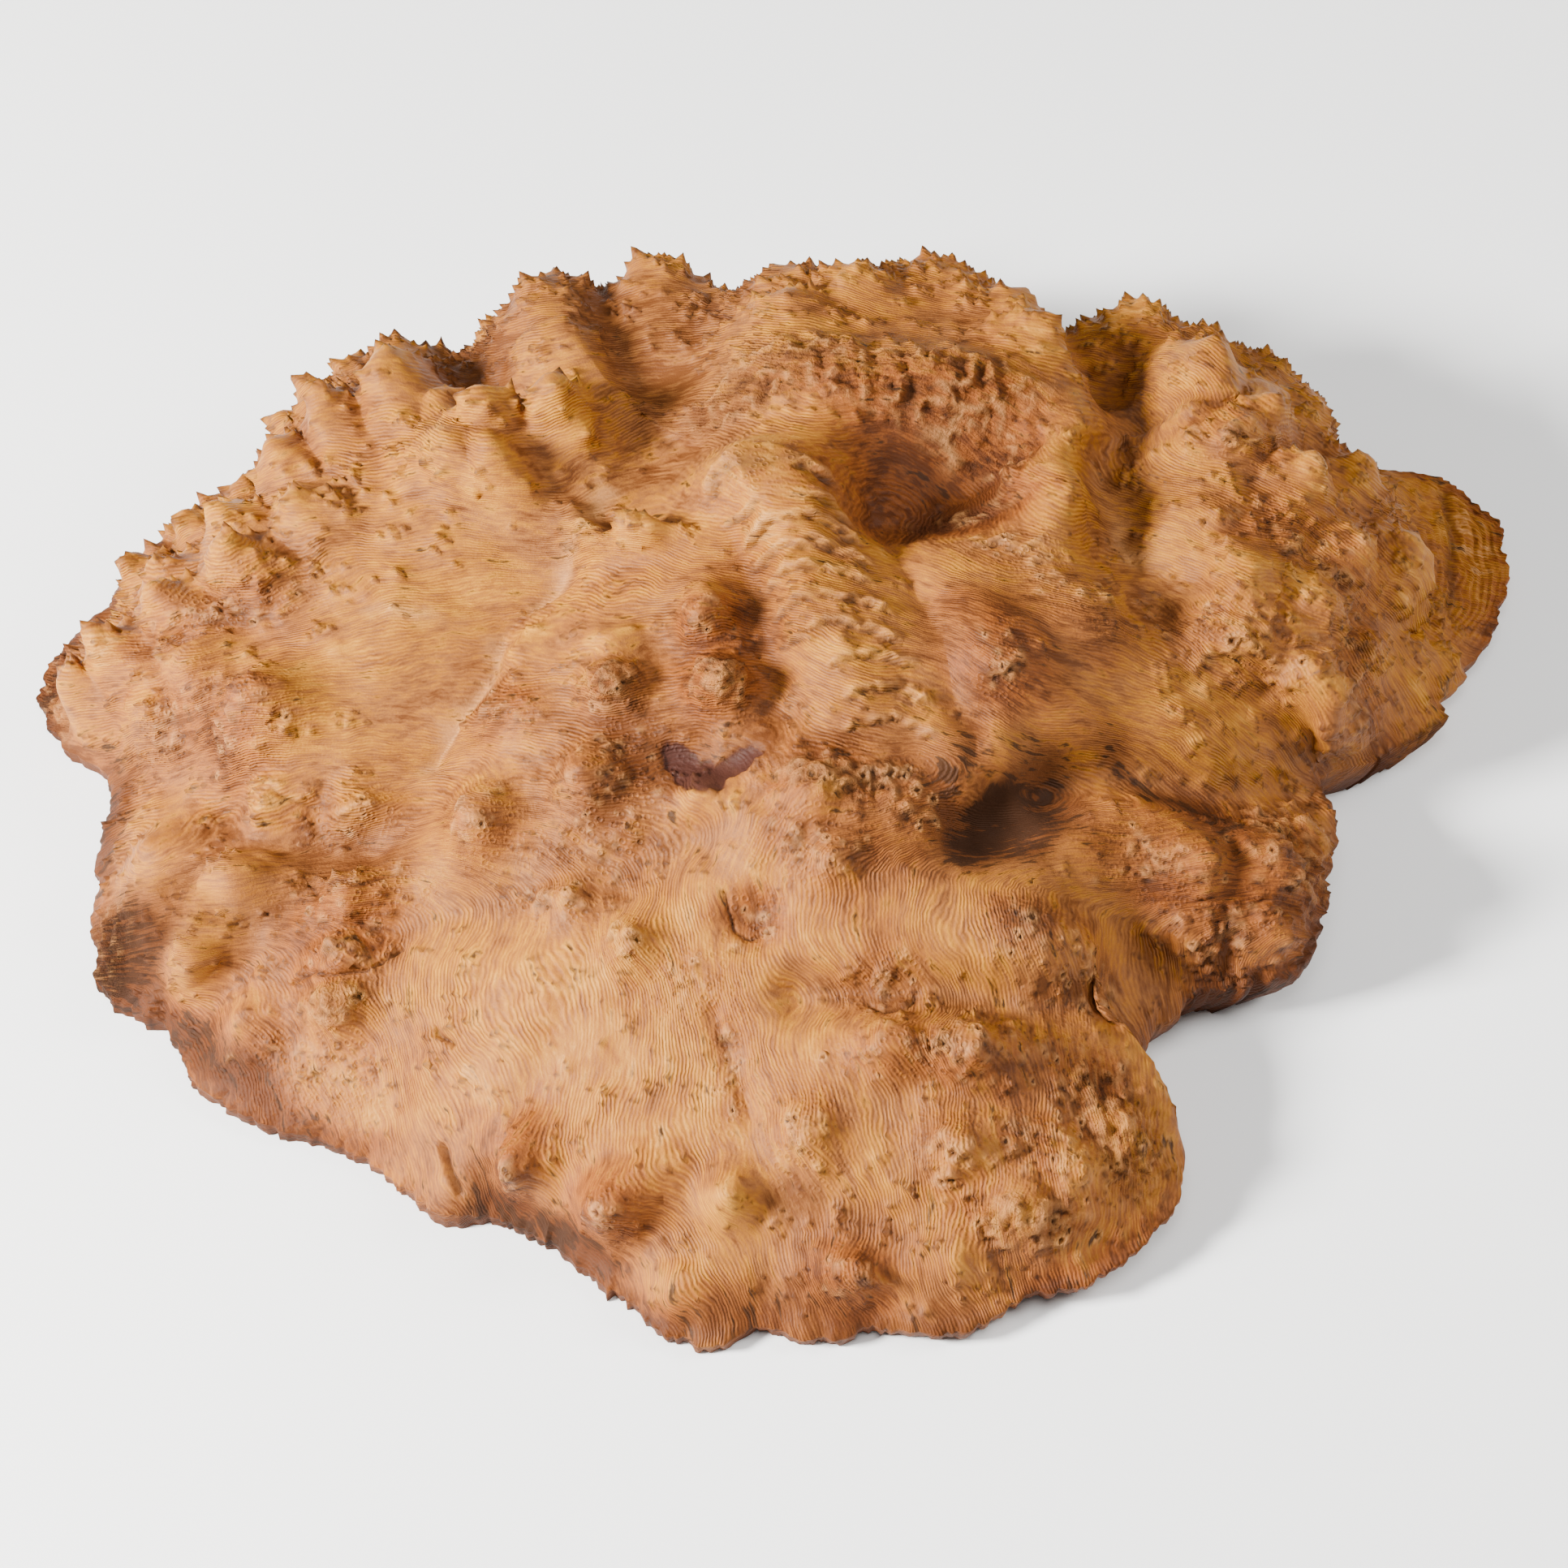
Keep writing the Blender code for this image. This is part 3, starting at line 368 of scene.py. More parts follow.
def relief(a, b):
    """Height of mounds, tents, ribs and grooves off the dome."""
    height = np.zeros(np.shape(a))
    for *spot, rise in MOUNDS:
        u, v = turned(a, b, *spot)
        height = height + rise * np.exp(-MOUND_FALL * (u * u + v * v))
    for _, line, width, rise in RIBS:
        d = line_distance(a, b, line) / width
        height = height + rise * np.exp(-MOUND_FALL * d * d)
    for _, line, width, depth, crease in GROOVES:
        d = line_distance(a, b, line) / width
        height = height - depth * (1 - crease) * np.exp(-MOUND_FALL * d * d)
        height = height - depth * crease * np.exp(-CREASE_FALL * d)
    tents = np.zeros(np.shape(a))
    for x, y, reach, rise in TENTS:
        d = np.sqrt((a - x) ** 2 + (b - y) ** 2 + TENT_BLUNT**2) / reach
        tents = np.maximum(tents, rise * np.clip(TENT_TOP - d, 0, 1) ** TENT_HOLLOW)
    return height + tents


def unit_cross(p, q):
    """Unit normals of two sets of directions."""
    n = np.cross(p, q)
    return n / (np.linalg.norm(n, axis=-1, keepdims=True) + 1e-9)


def skin(a, b):
    """Points of the skin with its lobes."""
    points, share = dome(a, b)
    across = dome(a + 1.0, b)[0] - dome(a - 1.0, b)[0]
    along = dome(a, b + 1.0)[0] - dome(a, b - 1.0)[0]
    height = relief(a, b) * smooth((1 - share) / LIP_WIDTH)
    return points + unit_cross(across, along) * height[..., None]


def skin_normal(a, b):
    """Directions straight out of the skin."""
    across = skin(a + NORMAL_REACH, b) - skin(a - NORMAL_REACH, b)
    along = skin(a, b + NORMAL_REACH) - skin(a, b - NORMAL_REACH)
    return unit_cross(across, along)


def place(gx, gy):
    """Skin places of a square lattice rounded out to the rim."""
    u = gx * np.sqrt(1 - gy**2 / 2)
    v = gy * np.sqrt(1 - gx**2 / 2)
    bearing = np.arctan2(v, u)
    share = np.hypot(u, v)
    calm = circle_table(CALM, bearing)
    reach = calm * share + (around(bearing, RIM_REACHES) - calm) * share**RIM_FOLLOW
    return CROWN[0] + reach * np.cos(bearing), CROWN[1] + reach * np.sin(bearing)


def belts(a, b):
    """Share of places with a thorn and the thorn height there."""
    share, tall = np.zeros(np.shape(a)), np.zeros(np.shape(a))
    for _, line, width, often, height in BELTS:
        near = bell(line_distance(a, b, line), width)
        more = near * often > share
        share = np.where(more, near * often, share)
        tall = np.where(more, height * (0.5 + 0.5 * near), tall)
    return share, tall


def thorns():
    """Lattice cells that bear a thorn, its shift inside the cell and its height."""
    rng = np.random.RandomState(SEED)
    step = 2.0 / CELLS
    taken = np.zeros((CELLS + 1, CELLS + 1), bool)
    rows = []
    cells = [(i, j) for i in range(1, CELLS) for j in range(1, CELLS)]
    for k in rng.permutation(len(cells)):
        i, j = cells[k]
        shift = rng.uniform(-THORN_SHIFT, THORN_SHIFT, 2)
        chance, vary = rng.uniform(0, 1), rng.uniform(*THORN_VARY)
        if taken[i - 1:i + 2, j - 1:j + 2].any():
            continue
        gx, gy = (i + shift[0]) * step - 1, (j + shift[1]) * step - 1
        a, b = place(np.array(gx), np.array(gy))
        share, tall = belts(a, b)
        if chance < share:
            taken[i, j] = True
            rows.append((i, j, shift[0], shift[1], tall * vary))
    return rows


def rim_teeth():
    """In and out shift of the ragged rim, one value a tooth."""
    rng = np.random.RandomState(SEED + 1)
    return rng.uniform(-TOOTH, TOOTH, RIM_TEETH)


# The fine lattice: closest spacing of its corners, and the calm edge by the rim
CLOSEST = 0.40
EDGE_CALM = 0.035

# Frayed fibres of the rim: how far they stand in or out, and how soon they fade inward
FRAY = 1.1
FRAY_DEPTH = 60

# Random relief: values each way in its table, and where the cap lies on it
NOISE_CELLS = 64
NOISE_START = (17.3, 9.1)

# How sharply a patch of tone or crust ends
PATCH_EDGE = 1.5

# Knobs that the skin hangs from: bluntness, top and hollowness
KNOB_BLUNT = 0.3
KNOB_TOP = 1.05
KNOB_HOLLOW = 2.3

# Sharp thorns: hollowness, size of the dark tip, lean to the left
HOOK_HOLLOW = 1.3
HOOK_TIP = 0.46
HOOK_LEAN = 0.3

# The pit beside a sharp thorn, in its reaches: place, width, depth in heights, then darkness and width of the
# painted shade in it
PIT_PLACE = (0.9, -0.35)
PIT_WIDTH = 0.4
PIT_DEPTH = 0.45
PIT_SHADE = (0.75, 0.36)

# Eyes, in their size and rise: widths of ring and pit, depth of the pit, raggedness, paleness and darkness
EYE_WIDTHS = (0.45, 0.5)
EYE_PIT = 1.6
EYE_RAGGED = 0.35
EYE_TONES = (0.7, 0.9)

# Ledges: bow and raggedness, fall above and below the step, then narrowing, place, width and depth of the
# hollow under it, place and width of its pale line, paleness, and darkness of the painted shade under it
STEP_BEND = (0.5, 0.5)
STEP_FALL = (2.6, 0.55)
STEP_UNDER = (1.3, 1.05, 0.6, 0.55)
STEP_LINE = (0.3, 0.7)
STEP_PALE_AND_SHADE = (0.5, 0.85)
LUMP_PALE = 0.5

# Thorns of the solid: height and reach of the knob and of the thorn on it, as a share of the height and a sum
KNOB_SIZE = (0.55, 1.2, 3.0)
HOOK_SIZE = (0.40, 1.2, 0.1)

# Sharp thorns around each: least and most, how far out, unevenness round it, flatness, height shares, reach
AROUND_COUNT = (1, 6)
AROUND_OUT = (2.0, 4.6)
AROUND_SWAY = 0.3
AROUND_FLAT = 0.8
AROUND_TALL = (0.22, 0.44)
AROUND_REACH = (0.9, 0.09)

# Smaller knobs between: shift in their cell, how often, heights, sizes, share with a thorn, its sizes
SMALL_SHIFT = 0.45
SMALL_OFTEN = 0.30
SMALL_TALL = (0.25, 0.38)
SMALL_KNOB = (0.8, 1.3, 2.8)
SMALL_SHARP = 0.8
SMALL_HOOK = (0.14, 0.26, 0.9, 0.08)

# Marks in a group: how many of them are eyes, and how many eyes or ledges
EYE_MORE = 1.4
EYE_KINDS = (0.22, 0.62)

# Marks in a group: spread, sizes, then size and rise of an eye, of a ledge and of a lump, and room around
GROUP_SPREAD = 0.5
GROUP_SIZES = (0.5, 1.0)
EYE_SIZE = (0.8, 0.5)
LEDGE_SIZE = (1.3, 0.8)
LUMP_RISE = 0.6
GROUP_ROOM = (1.2, 3)

# Ledges of the rib's rows: shift, sag of the row toward its ends, half-lengths, heights
RIB_SHIFT = 0.8
RIB_SAG = 3.0
RIB_HALF = (1.7, 2.8)
RIB_TALL = (1.2, 2.1)

# How much darker and warmer the wood is around groups of eyes
KNOT_TONE = (0.34, 0.30)

# Crusts: heights between and on the flecks, then amount, start and width of the darkness and of the paleness
CRUST_RISE = (1.1, 2.2)
CRUST_DARK = (0.45, 0.72, 0.3)
CRUST_PALE = (0.6, 0.34, 0.16)

# Cracks and the sheen lines: how far they wander, darkness of the painted shade in a crack and how soon it
# fades, paleness of a painted sheen line
LINE_SWAY = 1.5
CRACK_SHADE = (0.7, 1.2)
SHEEN_PALENESS = 0.7

# The inclusion: where it starts, width of its edge, depth
INCLUSION_EDGE = (0.42, 0.14)
INCLUSION_DEPTH = 1.1

# Painted sheen: pale lines along the creases of the left valley and beside the right one: places, half-width
SHEEN_LINES = (
    (((-34, 70), (-52, 54), (-66, 42), (-79, 31)), 2.0),
    (((-79, 31), (-82, 16), (-90, 3), (-98, -9)), 2.4),
    (((-70, 38), (-92, 34), (-112, 36)), 1.8),
    (((84, 70), (88, 56), (98, 46)), 1.6),
)

# The toothed edge of the right lobe over the flange and down to the notch: places, spacing and height of
# teeth, how far they shift and vary, reach of their knobs, then height and reach of the thorns on those
LOBE_EDGE = ((181, 132), (184, 112), (188, 92), (194, 72), (199, 56), (196, 40), (188, 26), (176, 13))
LOBE_TEETH = (3.2, 3.4)
LOBE_SHIFT = (2, 1)
LOBE_VARY = (0.5, 1.2)
LOBE_KNOB = (1.5, 2.0)
LOBE_HOOK = (0.6, 1.6)

# The browner band along the rim: where it starts and its width, as shares of the way out
RIM_BAND = (0.955, 0.045)

# What that band takes from the lightness, adds to the warmth and stains at least
RIM_TONES = (0.75, 0.7, 0.35)

# Painted shade in small and broad hollows: cells over which they are evened out and the depth that counts in
# full
SMALL_HOLLOW_SHADE = (5, 1.1)
BROAD_HOLLOW_SHADE = (22, 5.0)

# How much painted shade darkens broad hollows, and how much painted highlight lightens broad rises
BROAD_SHADE_AND_HIGHLIGHT = (0.15, 0.12)

# How much the knobs and hollows are brought out, over how many cells, and where the back edge keeps its line
BRING_OUT = 0.30
BRING_CELLS = 15
BACK_CALM = (112.0, 18.0)

# Growth lines: their spacing over flat skin and up a slope
GRAIN_ACROSS = 1.04
GRAIN_UP = 1.25
GRAIN_TURN = 1.0

# The edge below the rim: shares of the lip height and of the undercut, roughness, and its strip in the bake
RIM_DROPS = ((0.14, 0.03), (0.30, 0.10), (0.46, 0.22), (0.64, 0.38), (0.82, 0.56), (1.0, 0.75))
RIM_ROUGH = 0.35
RIM_UV = 0.009

# What the edge below the rim changes in the fields from ring to ring, and the painted shade it gets as a
# hollow
RIM_SHIFTS = {"light": -0.10, "warm": 0.08, "grain": 1.3}
RIM_HOLLOW_SHADE = 0.25

# Places in the bake: middle and half-size of the skin, then corner and size of the sawn face
SKIN_UV = ((0.36, 0.50), (0.34, 0.47))
SAWN_UV = ((0.73, 0.01), 0.26)

# The fibrous flange: where it starts, its near and far end, each with the width of its fade
FLANGE_START = (190, 6)
FLANGE_NEAR = (60, 14)
FLANGE_FAR = (140, 12)

# Its ridges: their two spacings, share of the finer ones, height, and height of the unevenness between
RIDGE_SPACING = (3.1, 1.7)
RIDGE_FINE = 0.6
RIDGE_TALL = 0.35
RIDGE_UNEVEN = 0.7

# The dark upright groove in it: places, depth and half-width, darkness and its half-width
FLANGE_GROOVE = ((203, 126), (205, 108), (204, 90), (202, 74))
GROOVE_DEPTH = (1.6, 1.8)
GROOVE_DARK = (0.5, 1.5)

# Camera and light, in metres
CAMERA_TARGET = (0.001, -0.002, 0.030)
CAMERA_ELEVATION = 52.0
CAMERA_DISTANCE = 1.3
SENSOR = 36.0
FOCAL_SHARE = 5571 / 1932
FLOOR_HALF = 6.0
WORLD_LIGHT = 0.19
LAMPS = (
    ("key", (-1.35, -0.50, 0.92), 0.4, 146, (1.0, 0.99, 0.97)),
    ("side", (1.45, 0.1, 1.2), 0.7, 26, (1.0, 0.99, 0.975)),
    ("top", (0.1, -0.5, 2.0), 1.0, 22, (1.0, 1.0, 1.0)),
)

# Fine relief of the skin

# Eyes, pores and small lumps in loose groups: place, spread along and across, turn, how many, size of one
EYE_GROUPS = (
    # The middle and the shelf
    (-78, -1, 7, 8, 0, 7, 1.5), (-46, -6, 7, 6, 0, 9, 1.6), (-16, -9, 9, 6, -20, 12, 1.6),
    (-20, 10, 5, 5, 0, 7, 1.4), (-46, -28, 14, 12, 0, 16, 1.3), (-50, -46, 16, 12, 0, 12, 1.2),
    (14, -36, 18, 5, -8, 18, 1.9), (38, -42, 14, 6, -30, 12, 1.7), (10, -54, 14, 7, 0, 14, 1.3),
    (-8, -72, 7, 5, 0, 5, 1.5),
    # The left
    (-146, 4, 12, 8, 20, 12, 1.4), (-168, 16, 14, 6, 20, 12, 1.4), (-150, 44, 22, 6, 12, 14, 1.3),
    (-120, -24, 9, 7, 0, 8, 1.3), (-118, -50, 16, 8, 0, 9, 1.2), (-120, -66, 9, 5, 0, 8, 1.4),
    (-121, -79, 9, 5, 0, 9, 1.7),
    # Before the middle
    (-83, -38, 7, 9, 0, 11, 1.5), (-62, -62, 12, 4, -10, 11, 1.7), (-40, -76, 6, 4, 0, 6, 1.6),
    (-24, -88, 10, 7, 0, 7, 1.2), (-13, -108, 3, 15, 0, 12, 1.2), (8, -127, 8, 9, 0, 12, 1.3),
    # The front right
    (46, -106, 24, 5, 4, 26, 1.3), (28, -88, 10, 5, 30, 12, 1.1), (44, -128, 8, 7, 0, 10, 1.8),
    (72, -122, 18, 12, 10, 34, 1.3), (64, -144, 16, 7, 0, 16, 1.9), (90, -122, 10, 16, 20, 22, 1.6),
    (80, -106, 14, 7, 0, 14, 1.5),
    # The low right lobe
    (66, -73, 8, 8, 0, 12, 1.4), (82, -78, 12, 10, 0, 18, 1.3), (106, -46, 14, 8, -20, 16, 1.3),
    (136, -34, 14, 14, 0, 30, 1.6), (124, -56, 16, 7, 0, 14, 1.3),
    # The ringed mound and the right lobe
    (60, -2, 5, 9, 0, 9, 1.6), (80, 26, 12, 7, -30, 12, 1.5), (62, 40, 14, 5, -15, 16, 1.6),
    (116, 84, 14, 6, 0, 12, 1.8), (132, 58, 22, 6, -14, 16, 1.5), (122, 24, 14, 8, -10, 14, 1.6),
    (152, 44, 12, 16, 0, 20, 1.4), (160, 24, 12, 8, -20, 12, 1.3),
    # Single knobs and the front
    (-46, 52, 6, 4, 0, 6, 1.5), (-2, 56, 12, 4, 0, 12, 1.5), (-128, -92, 20, 8, -20, 8, 1.2),
    (-70, -124, 5, 4, 0, 5, 1.4), (-43, -140, 4, 4, 0, 4, 1.4), (18, -157, 6, 4, 0, 6, 1.3),
)

# Rows of small lumps lying across the middle rib: height of the row, left and right ends, how many
RIB_ROWS = (
    (57, -14, 14, 8), (49, -12, 18, 9), (41, -9, 22, 9), (33, -6, 24, 9), (25, -4, 26, 8),
    (16, -1, 30, 8), (7, 3, 34, 8), (-2, 14, 38, 7), (-11, 18, 40, 7), (-20, 18, 42, 6),
)

# Crusted patches: place, half-lengths, turn, roughness in height
CRUSTS = (
    ("crusted_left", 4, 88, 17, 8, 10, 1.5),
    ("crusted_right", 34, 84, 22, 8, 0, 1.6),
    ("bowl_flecks", 46, 73, 13, 5, -10, 1.2),
    ("bowl_right", 60, 66, 7, 12, 0, 0.4),
    ("bowl_low", 46, 58, 12, 4, 10, 1.0),
    ("knob_a", -46, -5, 7, 6, 0, 0.9),
    ("knob_b", -17, -8, 9, 6, -20, 1.0),
    ("low_right_pale", 66, -143, 17, 6, 0, 0.9),
    ("low_right_edge", 92, -118, 12, 20, 20, 0.8),
    ("lower_right", 142, -30, 14, 18, 0, 0.8),
    ("left_crust", -121, -79, 9, 5, 0, 0.9),
    ("left_tip", -214, 48, 10, 18, 0, 1.0),
    ("left_heel", -192, -48, 9, 18, -20, 1.0),
    ("shelf", 16, -38, 20, 6, -10, 0.8),
)

# Cracks: places along the crack, half-width, depth
CRACKS = (
    ("left_upper", ((-131, -44), (-126, -49), (-121, -51), (-115, -49), (-109, -46)), 0.40, 1.6),
    ("left_lower", ((-136, -70), (-128, -69), (-122, -71), (-114, -71), (-106, -67)), 0.45, 1.8),
    ("hook", ((-15, -66), (-15, -70), (-12, -74), (-7, -76), (-3, -75)), 0.45, 1.2),
    ("small", ((-94, -89), (-91, -92), (-89, -95)), 0.55, 1.6),
    ("ring", ((24, -94), (29, -97), (35, -96), (38, -93)), 0.5, 1.4),
    ("curl", ((-93, -118), (-91, -124), (-88, -130)), 0.9, 2.5),
    ("left_long", ((-140, -14), (-134, -17), (-130, -19)), 0.5, 1.2),
)

# Tones of the wood: place, half-lengths, turn, lightness, warmth, stain
TONES = (
    # The pale left valley and the slopes round it
    (-76, 36, 52, 15, 48, -0.08, -0.55, 0.0), (-108, -12, 26, 13, 50, 0.06, -0.35, 0.0),
    (-18, 86, 26, 26, 0, -0.25, -0.45, 0.0), (-42, 122, 38, 32, 0, -0.42, 0.0, 0.0),
    (-160, 46, 50, 28, 10, -0.18, 0.05, 0.0), (-140, 108, 66, 26, 24, -0.20, 0.10, 0.0),
    # The crusts, the bowl and the rib
    (4, 86, 17, 8, 8, -0.20, 0.75, 0.12), (34, 80, 24, 9, 0, -0.05, 0.75, 0.10),
    (40, 66, 26, 19, 10, -0.55, 1.00, 0.15), (58, 63, 8, 13, 0, -0.35, 0.90, 0.15),
    (38, 54, 26, 7, 10, -0.35, 0.65, 0.0), (8, 30, 20, 34, -20, 0.05, 0.30, 0.0),
    (59, 4, 24, 22, 0, -0.50, 0.55, 0.0),
    # The knobs and the shelf
    (-46, -4, 10, 9, 0, -0.25, 0.55, 0.05), (-16, -8, 14, 12, 0, -0.15, 0.60, 0.04),
    (-14, 8, 9, 9, 0, -0.10, 0.60, 0.0), (-44, -26, 18, 16, 0, -0.35, 0.40, 0.10),
    (-22, -24, 30, 14, 0, -0.30, 0.20, 0.14), (18, -40, 34, 18, -8, -0.30, 0.45, 0.10),
    # The stain and its streaks
    (64, -46, 20, 11, 28, -0.60, 0.20, 1.00), (73, -36, 12, 14, 0, -0.40, 0.10, 0.62),
    (50, -30, 11, 9, 40, -0.30, 0.20, 0.62), (104, -22, 20, 5, -22, -0.40, 0.20, 0.60),
    (116, -30, 7, 12, 10, -0.35, 0.30, 0.38),
    # The low right lobe and the front right
    (120, -44, 34, 20, 0, -0.15, 0.60, 0.02), (148, -44, 16, 26, 0, -0.05, 0.30, 0.0),
    (66, -72, 10, 9, 0, -0.55, 0.45, 0.30), (50, -104, 34, 9, 4, -0.30, 0.35, 0.04),
    (74, -128, 34, 24, 0, 0.10, 0.15, 0.0), (82, -152, 22, 7, 20, -0.20, 0.70, 0.05),
    # The plain and the front
    (-66, -84, 50, 34, -10, 0.28, 0.0, 0.0), (-40, -112, 44, 18, -10, 0.16, 0.10, 0.0),
    (-68, -122, 13, 11, 0, -0.50, 0.55, 0.06), (-44, -138, 12, 10, 0, -0.40, 0.50, 0.04),
    (-18, -166, 34, 9, 0, -0.45, 0.65, 0.30), (20, -158, 18, 12, 0, -0.28, 0.65, 0.05),
    # The bark-brown rim at the left and front
    (-188, -52, 18, 20, -20, -0.65, 0.50, 0.72), (-162, -82, 26, 9, -35, -0.55, 0.65, 0.60),
    (-66, -139, 28, 6, -36, -0.50, 0.45, 0.62), (-132, -104, 26, 5, -24, -0.35, 0.60, 0.42),
    (-196, 2, 9, 28, 0, -0.50, 0.45, 0.60), (-218, 52, 10, 28, -10, -0.45, 0.80, 0.45),
    # The left and the middle
    (-140, -30, 36, 14, -20, -0.20, 0.15, 0.08), (-148, 8, 18, 12, 0, -0.10, 0.35, 0.0),
    (-122, -64, 16, 12, 0, -0.30, 0.40, 0.04), (-76, -4, 11, 12, 0, -0.32, 0.45, 0.04),
    (-84, -40, 9, 12, 0, -0.10, 0.25, 0.03), (-8, -72, 11, 8, 0, -0.35, 0.45, 0.08),
    (4, -86, 9, 4, -15, -0.35, -0.10, 0.35), (6, -140, 7, 3, -20, -0.30, -0.20, 0.35),
    # The right lobe, the valley before it and the flange
    (128, 64, 46, 26, -20, 0.18, 0.10, 0.0), (90, 78, 16, 34, 10, -0.20, -0.15, 0.0),
    (106, 4, 26, 9, -20, 0.30, 0.10, 0.0), (56, 130, 16, 9, -20, -0.15, 0.70, 0.04),
    # The flange, first on the next line: its own red-brown, lightened further as painted light against the
    # key lamp's shade
    (209, 102, 17, 36, 0, 0.60, 0.90, 0.0), (190, 34, 22, 24, 40, 0.30, -0.05, 0.0),
    # The gap behind the right crest, lightened as painted light against its own deep shade
    (76, 146, 18, 28, 0, 0.35, 0.05, 0.0),
)

# The purple-brown inclusion in the middle, a shallow V: place, half-lengths and turn of its parts
INCLUSION = ((-28, -28, 8, 4, -50), (-21, -34, 8, 6, -20), (-12, -31, 9, 4, 18))


def value_noise(a, b, size, seed):
    """Smooth random relief from -1 to 1 with features about as wide as size."""
    table = np.random.RandomState(SEED + seed).uniform(-1, 1, (NOISE_CELLS, NOISE_CELLS))
    x, y = a / size + NOISE_START[0], b / size + NOISE_START[1]
    i, j = np.floor(x).astype(int), np.floor(y).astype(int)
    u, v = smooth(x - i), smooth(y - j)
    i, j = i % NOISE_CELLS, j % NOISE_CELLS
    next_i, next_j = (i + 1) % NOISE_CELLS, (j + 1) % NOISE_CELLS
    low = table[i, j] * (1 - u) + table[next_i, j] * u
    high = table[i, next_j] * (1 - u) + table[next_i, next_j] * u
    return low * (1 - v) + high * v


def spread(coarse, factor):
    """Values of a coarse lattice carried evenly to one that is finer by the factor."""
    for axis in (0, 1):
        count = coarse.shape[axis]
        t = np.arange((count - 1) * factor + 1) / factor
        i = np.minimum(t.astype(int), count - 2)
        u = (t - i).reshape([-1 if k == axis else 1 for k in range(coarse.ndim)])
        coarse = np.take(coarse, i, axis) * (1 - u) + np.take(coarse, i + 1, axis) * u
    return coarse


def blurred(field, cells, rounds=3):
    """The field with what is finer than so many cells evened out."""
    for _ in range(rounds):
        for axis in (0, 1):
            pad = [(cells + 1, cells) if k == axis else (0, 0) for k in (0, 1)]
            total = np.cumsum(np.pad(field, pad, mode="edge"), axis)
            width = 2 * cells + 1
            high = np.take(total, np.arange(width, total.shape[axis]), axis)
            low = np.take(total, np.arange(0, total.shape[axis] - width), axis)
            field = (high - low) / width
    return field


def patch(a, b, *spot):
    """A soft-edged oval patch, 1 in its middle and 0 outside: place, half-lengths, turn."""
    u, v = turned(a, b, *spot)
    return np.exp(-((u * u + v * v) ** PATCH_EDGE))


